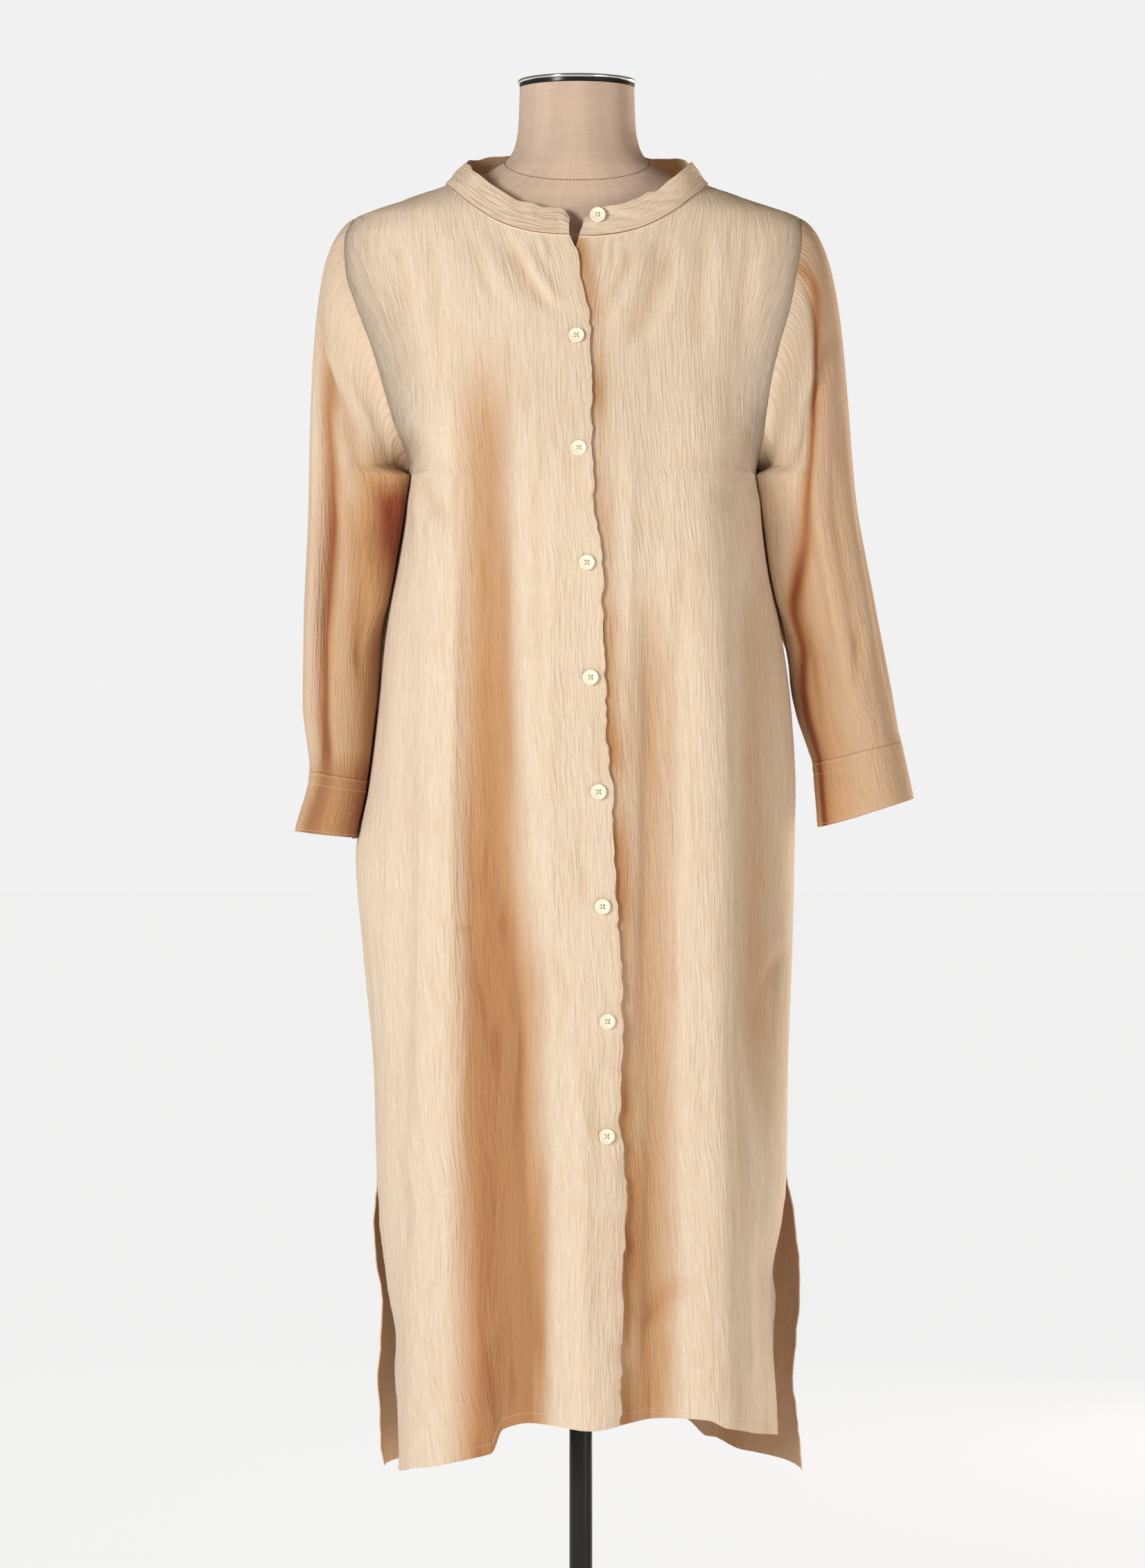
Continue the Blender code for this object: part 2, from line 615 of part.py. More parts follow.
def armhole_point(side, angle):
    """Outer point of the armhole seam; 0 degrees is the shoulder tip, 90 the front."""
    face = "front" if angle <= 180.0 else "back"
    along = angle / 180.0 if angle <= 180.0 else (360.0 - angle) / 180.0
    height = np.array([armhole_height(along)])
    return body_point(face, side, side * seam_width(face, side, height), height)[0]


def hanging_point(side, angle, height):
    """Outer point of the sleeve where it hangs, on the ring whose middle is at height."""
    table = SLEEVES[side]
    outer = float(table["outer"](height))
    inner = float(table["inner"](height))
    front = float(table["front"](height))
    back = float(table["back"](height))
    turn = math.radians(angle)
    away = (angle - SLEEVE_FOLD_ANGLE[side] + 180.0) % 360.0 - 180.0
    dent = float(table["fold"](height)) * math.exp(-((away / SLEEVE_FOLD_SPREAD) ** 2))
    reach = 1.0 - 2.0 * dent / (outer - inner)
    across = 0.5 * (outer + inner) + 0.5 * (outer - inner) * math.cos(turn) * reach
    y = 0.5 * (front + back) - 0.5 * (back - front) * math.sin(turn) * reach
    lift = float(table["tilt"](height)) * (math.cos(turn) * 0.5)
    return clear_of_body(side, np.array([side * across, y, height + lift]))


def clear_of_body(side, point):
    """Moves a sleeve's point out to where it lies beside the cloth of the body."""
    face = "front" if point[1] < 0 else "back"
    height = np.array(min(point[2], UNDERARM))
    half = float(half_width(face, side, height))
    depth = float(BODY[face](height))
    share = min(abs(point[1]) / depth, 1.0)
    beside = half * (1 - share**SECTION_POWER) ** (1 / SECTION_POWER) + SLEEVE_CLEAR
    moved = point.copy()
    if share < 1.0 and side * point[0] < beside:
        moved[0] = side * beside
    return moved


def sleeve_heights(side):
    rows = SLEEVE_ROWS[side]
    return rows[0].height, rows[SLEEVE_END_ROW].height, rows[-1].height


def around_armhole(reach, angle):
    """A value that goes from the shoulder's tip to under the arm and back."""
    over = 0.5 * (1 + math.cos(math.radians(angle)))
    return reach["under"] + (reach["over"] - reach["under"]) * over


def build_sleeve(side):
    head, end, _ = sleeve_heights(side)
    grid = np.zeros((SLEEVE_AROUND, SLEEVE_HEAD_ROWS + SLEEVE_LOWER_ROWS + 1, 3))
    for i in range(SLEEVE_AROUND):
        angle = 360.0 * i / SLEEVE_AROUND
        leave = np.array(
            [
                side * around_armhole(SLEEVE_HEAD_OUT, angle),
                0.0,
                -around_armhole(SLEEVE_HEAD_DOWN, angle),
            ]
        )
        start = armhole_point(side, angle) + leave / np.linalg.norm(leave) * SEAM_GAP
        start[0] += side * around_armhole(SLEEVE_SEAM_SHIFT, angle)
        stop = hanging_point(side, angle, head)
        fall = hanging_point(side, angle, head - SLEEVE_FALL_STEP) - stop
        fall = fall / np.linalg.norm(fall) * around_armhole(SLEEVE_FALL, angle)
        for j in range(SLEEVE_HEAD_ROWS + 1):
            t = j / SLEEVE_HEAD_ROWS
            point = (1 + 2 * t) * (1 - t) ** 2 * start + t * (1 - t) ** 2 * leave
            point = point + t**2 * (3 - 2 * t) * stop + t**2 * (t - 1) * fall
            if j:
                point = clear_of_body(side, point)
            grid[i, j] = point
        for j in range(1, SLEEVE_LOWER_ROWS + 1):
            height = head + (end - head) * j / SLEEVE_LOWER_ROWS
            grid[i, SLEEVE_HEAD_ROWS + j] = hanging_point(side, angle, height)
    name = "sleeve_" + SIDE_NAME[side]
    normals = normals_of(grid, ring=True) * side
    return place(name, wall_mesh(name, grid, normals, WALL, ring=True), "cloth")


def build_cuff(side):
    _, top, bottom = sleeve_heights(side)
    grid = np.zeros((SLEEVE_AROUND, CUFF_ROWS + 1, 3))
    for i in range(SLEEVE_AROUND):
        angle = 360.0 * i / SLEEVE_AROUND
        for j in range(CUFF_ROWS + 1):
            height = top + (bottom - top) * j / CUFF_ROWS
            grid[i, j] = hanging_point(side, angle, height)
        grid[i, 0, 2] -= SEAM_GAP
    name = "cuff_" + SIDE_NAME[side]
    normals = normals_of(grid, ring=True) * side
    return place(name, wall_mesh(name, grid, normals, CUFF_WALL, ring=True), "cloth")


def turned_mesh(name, profile, sides):
    """A closed solid turned about Z from (radius, height) pairs, bottom to top."""
    points = []
    for radius, height in profile:
        for i in range(sides):
            turn = 2 * math.pi * i / sides
            points.append((radius * math.cos(turn), radius * math.sin(turn), height))
    faces = [tuple(range(sides))[::-1]]
    for j in range(len(profile) - 1):
        for i in range(sides):
            k = (i + 1) % sides
            low = j * sides
            high = low + sides
            faces.append((low + i, low + k, high + k, high + i))
    faces.append(tuple((len(profile) - 1) * sides + i for i in range(sides)))
    mesh = bpy.data.meshes.new(name)
    mesh.from_pydata(points, [], faces)
    return mesh


def button_mesh():
    """A turned disc with a raised rim and four holes through it."""
    r = BUTTON_RADIUS
    t = BUTTON_THICKNESS
    profile = ((0.78 * r, 0.0), (r, 0.45 * t), (0.9 * r, t), (0.68 * r, 0.82 * t))
    disc = place("button_blank", turned_mesh("button_blank", profile, BUTTON_SIDES), "button")
    cutters = []
    for i in range(4):
        turn = math.radians(45 + 90 * i)
        drill = ((BUTTON_HOLE_RADIUS, -t), (BUTTON_HOLE_RADIUS, 2 * t))
        cutter = place("drill_" + str(i), turned_mesh("drill", drill, 6), "button")
        cutter.location = (
            BUTTON_HOLE_PLACE * math.cos(turn),
            BUTTON_HOLE_PLACE * math.sin(turn),
            0.0,
        )
        cutter.hide_render = True
        cut = disc.modifiers.new("hole_" + str(i), "BOOLEAN")
        cut.operation = "DIFFERENCE"
        cut.object = cutter
        cutters.append(cutter)
    bpy.context.view_layer.update()
    graph = bpy.context.evaluated_depsgraph_get()
    mesh = bpy.data.meshes.new_from_object(disc.evaluated_get(graph))
    for helper in [disc, *cutters]:
        bpy.data.objects.remove(helper)
    mesh.name = "button"
    return mesh


def stand_on(point, normal):
    """Matrix that stands a piece on a surface, its +Z along the normal."""
    turn = Vector(normal).to_track_quat("Z", "Y").to_matrix().to_4x4()
    return Matrix.Translation(Vector(point)) @ turn


def seat_of(panel, across, height):
    """Where a button lies flat on the front of a panel, and the way it faces."""
    mesh = panel.data
    mesh.calc_loop_triangles()
    corners = [v.co for v in mesh.vertices]
    tree = BVHTree.FromPolygons(corners, [tuple(t.vertices) for t in mesh.loop_triangles])
    forward = Vector((0.0, -1.0, 0.0))
    middle = Vector((across + CENTRE_X, -1.0, height))
    points = []
    for i in range(8):
        turn = math.radians(45 * i)
        offset = Vector((math.cos(turn), 0.0, math.sin(turn))) * BUTTON_RADIUS
        points.append(tree.ray_cast(middle + offset, -forward)[0])
    spread = (points[0] - points[4]).cross(points[2] - points[6]).normalized()
    normal = spread if spread.dot(forward) > 0 else -spread
    centre = tree.ray_cast(middle, -forward)[0]
    proud = max((point - centre).dot(normal) for point in [*points, centre])
    return centre + normal * (proud + BUTTON_SEAT), normal


def place_button(name, mesh, panel, across, height):
    point, normal = seat_of(panel, across, height)
    button = bpy.data.objects.new(name, mesh.copy())
    button.matrix_world = stand_on(point, normal)
    bpy.context.collection.objects.link(button)


def build_buttons(front_right, collar):
    mesh = button_mesh()
    for i in range(FASTENED_BUTTONS):
        height = FIRST_BUTTON - BUTTON_PITCH * i
        across = float(front_edge(height)) - PLACKET_WIDTH / 2
        place_button("button_" + str(i + 1), mesh, front_right, across, height)
    place_button("button_collar", mesh, collar, *COLLAR_BUTTON)


def build_form():
    """The torso with its neck, as rings from its flat bottom to its flat top."""
    points = []
    for row in FORM:
        for i in range(FORM_SIDES):
            turn = 2 * math.pi * i / FORM_SIDES
            depth = row.back if math.sin(turn) > 0 else row.front
            points.append(
                (CENTRE_X + row.half * math.cos(turn), depth * math.sin(turn), row.height)
            )
    faces = [tuple(range(FORM_SIDES))[::-1]]
    for j in range(len(FORM) - 1):
        for i in range(FORM_SIDES):
            k = (i + 1) % FORM_SIDES
            low = j * FORM_SIDES
            high = low + FORM_SIDES
            faces.append((low + i, low + k, high + k, high + i))
    faces.append(tuple((len(FORM) - 1) * FORM_SIDES + i for i in range(FORM_SIDES)))
    mesh = bpy.data.meshes.new("form_torso")
    mesh.from_pydata(points, [], faces)
    place("form_torso", mesh, "linen")


def build_stand():
    """Neck cap, pole and round foot."""
    cap_bottom = NECK_TOP + FIT_GAP
    cap_profile = (
        (CAP_RADIUS - 0.0015, cap_bottom),
        (CAP_RADIUS, cap_bottom + 0.0015),
        (CAP_RADIUS, cap_bottom + CAP_THICKNESS - 0.0015),
        (CAP_RADIUS - 0.0015, cap_bottom + CAP_THICKNESS),
    )
    cap = place("form_neck_cap", turned_mesh("form_neck_cap", cap_profile, CAP_SIDES), "chrome")
    cap.location.x = CENTRE_X
    pole_top = FORM[0].height - FIT_GAP
    pole_profile = (
        (POLE_RADIUS, BASE_COLLAR_HEIGHT + FIT_GAP),
        (POLE_RADIUS, pole_top),
    )
    place("form_pole", turned_mesh("form_pole", pole_profile, POLE_SIDES), "black")
    base_profile = (
        (BASE_RADIUS - 0.002, 0.0),
        (BASE_RADIUS, 0.002),
        (BASE_RADIUS, BASE_THICKNESS - 0.003),
        (BASE_RADIUS - 0.004, BASE_THICKNESS),
        (BASE_COLLAR_RADIUS, BASE_THICKNESS + 0.002),
        (BASE_COLLAR_RADIUS - 0.003, BASE_COLLAR_HEIGHT),
    )
    place("form_base", turned_mesh("form_base", base_profile, BASE_SIDES), "black")


def main():
    for obj in list(bpy.data.objects):
        bpy.data.objects.remove(obj)
    right, right_normals = front_right_grid()
    left, left_normals = front_left_grid()
    back, back_normals = back_grid()
    front_right = build_panel("front_right", right, right_normals)
    build_panel("front_left", left, left_normals)
    build_panel("back", back, back_normals)
    collar = build_collar(neckline_points(right, back, left))
    for side in (-1, 1):
        build_sleeve(side)
        build_cuff(side)
    build_buttons(front_right, collar)
    build_form()
    build_stand()


main()
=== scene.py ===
"""The looks of a long button-through dress in crinkled cotton, on its dress form.

Metres, +Z up. The pole's axis is x = y = 0, the floor is z = 0 and the wearer faces -Y,
so the wearer's right side is at -X. Each cloth piece is a thin shell on the form of the
solid that it stands for, with the creases, crinkle, stitching and weave added to it.
"""

import logging
import math
from collections.abc import Sequence
from dataclasses import dataclass, replace
from enum import Enum

import bpy
import numpy as np
from bpy.types import Material, Mesh, Node, NodeSocket, NodeTree, Object
from mathutils import Matrix, Vector


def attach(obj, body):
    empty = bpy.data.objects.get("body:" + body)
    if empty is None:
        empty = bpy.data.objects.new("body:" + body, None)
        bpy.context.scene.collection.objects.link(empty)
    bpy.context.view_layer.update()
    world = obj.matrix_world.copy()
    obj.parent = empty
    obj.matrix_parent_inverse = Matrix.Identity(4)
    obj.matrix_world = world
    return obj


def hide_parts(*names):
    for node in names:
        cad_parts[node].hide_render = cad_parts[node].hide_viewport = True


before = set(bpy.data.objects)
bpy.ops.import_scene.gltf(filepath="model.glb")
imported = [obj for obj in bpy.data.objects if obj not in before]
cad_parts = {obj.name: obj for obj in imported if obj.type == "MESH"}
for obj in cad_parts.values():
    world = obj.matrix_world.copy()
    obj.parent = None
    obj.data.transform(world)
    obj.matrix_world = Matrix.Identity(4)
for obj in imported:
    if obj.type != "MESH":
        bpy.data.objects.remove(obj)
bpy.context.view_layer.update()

LOG = logging.getLogger("dress")
Array = np.ndarray
Real = Array | float
Pair = tuple[float, float]
BACK_NECK_COLUMNS = 42
MM = 0.001
HEM_DEPTH = 0.009
EDGE_STITCH = 0.0015


class Side(Enum):
    """The wearer's right and left, by the sign of X."""

    RIGHT = -1
    LEFT = 1


class Face(Enum):
    """The front and the back of the body, by the sign of Y."""

    FRONT = -1
    BACK = 1


class End(Enum):
    """Which end of a grid's columns or rows a distance is measured from."""

    FIRST = 0
    LAST = -1


@dataclass(frozen=True)
class Section:
    """Half widths and depths of the dress at one height."""

    height: float
    front_right: float
    front_left: float
    back_right: float
    back_left: float
    front: float
    back: float


@dataclass(frozen=True)
class Armhole:
    """How far from the middle the armhole seam runs at one height."""

    height: float
    front_right: float
    front_left: float
    back_right: float
    back_left: float


@dataclass(frozen=True)
class Closing:
    """Where the upper front's edge runs, and how far the under front reaches beneath it."""

    height: float
    edge: float
    overlap: float


@dataclass(frozen=True)
class Fold:
    """A lengthwise fold that grows on its way down, its depth outwards."""

    top: float
    bottom: float
    top_across: float
    bottom_across: float
    top_width: float
    bottom_width: float
    top_depth: float
    bottom_depth: float


@dataclass(frozen=True)
class Crease:
    """A soft ridge (depth above 0) or trough from one place on the cloth to another."""

    across_start: float
    start: float
    across_end: float
    end: float
    width: float
    depth: float
    bend: float = 0.0
    lean: float = 0.0


@dataclass(frozen=True)
class Hem:
    """Height of a hem at the middle, and how much lower it hangs towards each side."""

    middle: float
    drop_right: float
    drop_left: float
    power: float


@dataclass(frozen=True)
class SleeveRow:
    """The opening of a sleeve at one height."""

    height: float
    outer: float
    inner: float
    front: float
    back: float
    tilt: float
    fold: float


@dataclass(frozen=True)
class FormRow:
    """Half width and depths of the dress form at one height."""

    height: float
    half: float
    front: float
    back: float


def in_metres(kind: type, *rows: tuple[float, ...]) -> tuple:
    """Table rows of one dataclass, from values in millimetres."""
    return tuple(kind(*(round(value * MM, 7) for value in row)) for row in rows)


def creases(*rows: tuple[float, ...], across: float = MM) -> tuple[Crease, ...]:
    """Creases from rows in millimetres, the last value a plain share.

    Args:
        rows: one row for each crease.
        across: what turns the two places across into metres, or 1 for degrees.

    Returns:
        The creases.
    """
    scale = (across, MM, across, MM, MM, MM, MM, 1.0)
    return tuple(Crease(*(round(v * s, 7) for v, s in zip(row, scale))) for row in rows)


SECTIONS = in_metres(
    Section,
    (270, 162.5, 184.5, 174.5, 206.5, 139, 137), (360, 164.5, 181.5, 179.5, 198.5, 138, 134),
    (410, 165.5, 178.5, 178.5, 201, 137, 132), (460, 172.5, 178.5, 180, 200.5, 136, 130),
    (520, 179.5, 188, 183.5, 197.5, 135, 129), (560, 182, 190.5, 182, 190.5, 134, 128),
    (646, 184.5, 191.5, 184.5, 191.5, 134, 127), (760, 194.5, 195.5, 194.5, 195.5, 134, 127),
    (845, 201, 197.5, 201, 197.5, 134, 126), (905, 190, 198.5, 190, 198.5, 133, 120),
    (978, 180.5, 194.5, 180.5, 194.5, 133, 112), (1058, 173, 183.5, 173, 183.5, 134, 106),
    (1109, 164, 173.5, 164, 173.5, 135, 103), (1160, 156, 168, 156, 168, 134, 102),
    (1196, 154, 166.5, 154, 166.5, 131, 103), (1227, 171.5, 182.5, 171.5, 182.5, 125, 104),
    (1259, 190.5, 200.5, 190.5, 200.5, 117, 105), (1291, 208.5, 217.5, 208.5, 217.5, 109, 105),
    (1327, 225, 231.5, 225, 231.5, 101, 103), (1370, 232.5, 237, 232.5, 237, 92, 98),
    (1402, 225.5, 227.5, 225.5, 227.5, 83, 91), (1424, 201, 202, 201, 202, 77, 84),
    (1440, 157, 156.5, 157, 156.5, 72, 77), (1453.5, 118.5, 118.5, 118.5, 118.5, 68, 70),
    (1457.5, 107.5, 108, 107.5, 108, 67, 68), (1470, 79, 79, 79, 79, 64, 64),
)

ARMHOLE = in_metres(
    Armhole,
    (1188, 154, 167, 154, 167), (1196, 152, 164, 153, 165), (1227, 158.5, 164, 162, 170),
    (1260, 166, 167, 174, 178), (1300, 177, 175, 187, 188), (1340, 193, 187, 199, 197),
    (1370, 204.5, 194.5, 206, 202), (1402, 208.5, 201.5, 209, 205), (1424, 201.5, 202.5, 201.5, 202.5),
)

PLACKET_WIDTH = 0.024
CLOSING = in_metres(
    Closing,
    (300, 37, 2), (420, 37.5, 8), (560, 42, 24), (620, 36, 24), (700, 38.5, 24), (800, 34.5, 24),
    (900, 31, 24), (1000, 24, 24), (1100, 21, 24), (1160, 15, 24), (1230, 13, 24), (1320, 11, 22),
    (1362, 4, 10), (1386, -1.5, 0.4), (1405, -9, -12),
)

FOLDS = {
    Face.FRONT: in_metres(
        Fold,
        (1330, 250, -84, -70, 20, 44, -10, -30), (1280, 250, -124, -121, 20, 30, 4, 12),
        (1300, 700, -48, -50, 26, 28, 3, 7), (1330, 250, 112, 118, 24, 28, 8, 20),
        (1120, 250, 78, 78, 20, 30, -6, -16), (1150, 560, 156, 160, 20, 22, -4, -10),
        (760, 250, 0, -12, 30, 38, 2, 10), (1430, 1150, -212, -146, 20, 20, 11, 11),
        (1430, 1150, 206, 156, 20, 20, 11, 11),
    ),
    Face.BACK: in_metres(
        Fold,
        (1300, 250, -112, -118, 22, 32, 6, 18), (1260, 250, -64, -70, 20, 34, -6, -22),
        (1180, 250, -16, -22, 24, 34, 4, 14), (1240, 250, 36, 32, 20, 32, -6, -20),
        (1300, 250, 86, 90, 22, 34, 6, 18), (1150, 250, 138, 144, 20, 28, -4, -14),
        (1400, 1180, -146, -132, 12, 18, -3, -3), (1400, 1180, 146, 134, 12, 18, -3, -3),
    ),
}

CREASES = {
    Face.FRONT: creases(
        # Drag lines from the neckline
        (-64, 1404, -18, 1326, 6.5, -3.8, 4, 0.3), (-50, 1398, -8, 1330, 6, 2.4, 4),
        (-82, 1408, -44, 1322, 8, 2.2, 6), (-96, 1414, -66, 1330, 6, -1.6, 5),
        (66, 1398, 20, 1310, 8.5, 4, -6, -0.3), (86, 1404, 40, 1296, 9.5, -4, -6),
        (52, 1396, 26, 1340, 4, -2.4, -3), (104, 1412, 66, 1300, 7.5, 2, -6),
        # Gathers under the band beside the closing
        (24, 1400, 21, 1372, 1.8, -1.6), (29, 1400, 27, 1368, 2.2, 1.6), (34, 1401, 31, 1378, 1.8, -1.4),
        (40, 1403, 36, 1374, 2.4, 1.2), (-26, 1401, -22, 1378, 2, -1.2),
        (-32, 1401, -27, 1370, 2.4, 1.3),
        # Shoulders
        (-176, 1408, -160, 1286, 7, 1.8, 3), (-163, 1414, -152, 1318, 5, -1.8, -2),
        (-131, 1422, -124, 1300, 6, -1.6, 3), (-116, 1424, -108, 1326, 7, 1.4),
        (118, 1424, 108, 1290, 7, -1.8, 3), (132, 1420, 122, 1280, 6.5, 1.8),
        (158, 1412, 146, 1290, 6, -2, 3), (172, 1406, 158, 1300, 6, 1.6),
        # Pulls from under the arms
        (-150, 1240, -106, 1130, 9, -3, 8), (-148, 1205, -120, 1090, 8, 2.6, 6),
        (158, 1236, 118, 1150, 9, -2.6, -6), (160, 1205, 138, 1080, 8, 2.6, -5),
        # Long soft ridges and troughs of the skirt
        (-158, 1120, -166, 430, 8.5, 2.2, 6), (-146, 1020, -148, 560, 6, -1.8, -3),
        (-104, 1200, -112, 660, 5.5, 2.4, 3, 0.4), (-98, 980, -100, 500, 5, -2.2, -3),
        (-66, 1180, -60, 860, 6, -2.2, 4), (-58, 920, -46, 480, 7.5, 2.6, -4),
        (-34, 1240, -30, 930, 5, -1.6, 2), (-24, 1080, -20, 640, 6, 1.8, 3),
        (-30, 620, -34, 360, 9, -3, 3), (2, 700, 6, 350, 8, 2.6, -2), (50, 1260, 48, 880, 6, 1.8, 3),
        (62, 1120, 58, 620, 6, -2.2, -3), (92, 1180, 92, 760, 5.5, -1.8, 3),
        (100, 1000, 98, 480, 6, 2.2, 2), (126, 1100, 130, 660, 7, 2, -3),
        (142, 960, 146, 420, 8, -2.6, 4), (172, 1040, 176, 560, 7.5, 2, 3),
        (60, 640, 56, 360, 8, 2.4, 2), (150, 540, 156, 350, 8, 2.4, 3),
        # Short crossings
        (-124, 790, -94, 778, 4, -2.2), (190, 772, 164, 676, 6, -3.4, 4), (182, 742, 160, 660, 5, 2, 4),
        (104, 480, 62, 420, 9, -3, 4), (-60, 450, -100, 388, 9, 3, 4),
    ),
    Face.BACK: creases(
        (-150, 1240, -96, 1120, 10, -3.2, 8), (158, 1236, 108, 1110, 10, -3.2, -8),
        (-140, 1400, -120, 1240, 8, 2, 4), (-104, 1420, -92, 1260, 7, -1.8, 4),
        (140, 1400, 122, 1230, 8, 2, -4), (98, 1420, 88, 1270, 7, -1.8, -4),
        (-40, 1430, -46, 1180, 9, 1.8, 4), (30, 1430, 26, 1200, 8, 1.6, -3),
        (-150, 1120, -158, 460, 8, 2.4, 5), (-92, 1100, -96, 500, 6.5, -2.4, -3),
        (-44, 1060, -50, 600, 6, 2.4, 3), (4, 980, 8, 400, 7, -2.2, 4), (58, 1120, 60, 640, 6, 2.4, -3),
        (110, 1080, 116, 430, 7.5, -2.6, 4), (166, 1060, 172, 520, 7.5, 2.4, 3),
        (-120, 520, -84, 420, 9, -3, 4), (50, 540, 100, 440, 9, 2.8, 4),
    ),
}

FRONT_HEM = Hem(0.342, 0.056, 0.036, 3.0)
BACK_HEM = Hem(0.304, 0.020, 0.032, 3.0)

# How much higher the hem lies than its even curve, across the panel
HEM_LIFTS = {
    Face.FRONT: (
        (-0.175, 0.009), (-0.145, -0.004), (-0.120, -0.014), (-0.087, -0.018), (-0.077, 0.001),
        (-0.050, 0.003), (-0.020, 0.001), (0.012, -0.003), (0.040, 0.001), (0.078, 0.006),
        (0.110, 0.008), (0.124, 0.003), (0.150, 0.004), (0.178, 0.010),
    ),
    Face.BACK: (
        (-0.180, 0.004), (-0.150, -0.003), (-0.118, 0.010), (-0.084, 0.016), (-0.020, 0.019),
        (0.034, 0.017), (0.094, 0.016), (0.120, 0.004), (0.134, 0.006), (0.160, 0.001), (0.200, 0.003),
    ),
}

SLEEVES = {
    Side.RIGHT: in_metres(
        SleeveRow,
        (1140, 246, 159, -52, 68, 2, 16), (1050, 250, 172, -48, 66, 4, 18),
        (980, 250.5, 175, -42, 62, 6, 15), (917, 244, 181, -36, 54, 9, 7),
        (864, 257, 189, -40, 56, 7, 3),
    ),
    Side.LEFT: in_metres(
        SleeveRow,
        (1140, 258, 169, -52, 68, 6, 12), (1050, 275, 185, -48, 66, 10, 14),
        (980, 288, 200, -44, 60, 14, 12), (939, 295, 214, -40, 50, 19, 6),
        (884, 306, 219, -44, 52, 26, 3),
    ),
}

# Sleeve creases: places round the sleeve in degrees, 0 outwards and 90 to the front
SLEEVE_CREASES = {
    Side.RIGHT: creases(
        (30, 1330, 118, 1200, 11, -6, 0, 0.2), (62, 1320, 140, 1215, 9, 4),
        (80, 1250, 130, 1130, 8, -3.6), (66, 1200, 104, 1060, 8, 3.6), (96, 1120, 120, 990, 7, -3.6),
        (70, 1080, 84, 930, 6, 2.8), (16, 1300, 20, 960, 6, 2), (44, 1360, 42, 930, 10, -5),
        (300, 1320, 250, 1180, 10, -4.6), (330, 1280, 300, 1020, 8, 3), (270, 1180, 290, 960, 8, -4),
        (226, 1160, 246, 1000, 8, 3.4), (200, 1120, 190, 960, 8, -2.6),
        across=1.0,
    ),
    Side.LEFT: creases(
        (40, 1330, 112, 1220, 11, -4, 0, 0.2), (74, 1300, 128, 1190, 9, 3.4),
        (84, 1250, 86, 980, 6, 2.6), (64, 1400, 106, 1120, 4.2, -3.2), (102, 1180, 132, 940, 4.2, -3.6),
        (60, 1220, 66, 980, 8, -2.6), (34, 1260, 40, 1010, 8, 2.2), (14, 1180, 24, 960, 7, -2.2),
        (50, 1060, 84, 985, 7, -2.4), (300, 1320, 250, 1180, 10, -4.6), (330, 1280, 306, 1020, 8, 3),
        (270, 1180, 286, 990, 8, -4), (226, 1160, 246, 1010, 8, 3.4), (200, 1120, 190, 990, 8, -2.6),
        across=1.0,
    ),
}

FORM_ROWS = in_metres(
    FormRow,
    (800, 130, 74, 80), (804, 142, 83, 89), (815, 151, 90, 96), (850, 160, 95, 101), (890, 163, 96, 101),
    (940, 158, 95, 95), (1000, 140, 92, 84), (1060, 124, 92, 77), (1120, 128, 102, 78),
    (1180, 142, 117, 84), (1220, 148, 115, 90), (1270, 155, 104, 96), (1320, 165, 93, 95),
    (1360, 174, 84, 88), (1390, 180, 75, 80), (1410, 180, 68.5, 74), (1424, 173, 65, 71),
    (1430, 162, 64, 70), (1438.2, 154.5, 62, 68), (1445.3, 134.5, 61, 66), (1451.1, 115.5, 60, 65),
    (1458, 96, 59, 63), (1468, 77, 58, 61), (1476.5, 64, 57, 59), (1488, 57, 55, 56),
    (1506, 53.5, 53, 53), (1542.5, 52, 52, 52),
)
NECK_TOP = FORM_ROWS[-1].height


def fade(value: Real) -> Array:
    """Goes from 0 to 1, with soft ends.

    Args:
        value: where to read it; 0 and below gives 0, 1 and above gives 1.

    Returns:
        The faded value, in the shape of the argument.
    """
    t = np.clip(value, 0.0, 1.0)
    return t * t * (3 - 2 * t)


def swell(away: Array, width: Real) -> Array:
    """1 at no distance, falling off evenly both ways over a width."""
    return np.exp(-((away / width) ** 2))


def between(first: Real, last: Real, share: Real) -> Real:
    """The value that lies a share of the way from the first to the last."""
    return first + (last - first) * share


def wrapped(angle: Real) -> Real:
    """An angle in degrees, brought between -180 and 180."""
    return (angle + 180.0) % 360.0 - 180.0


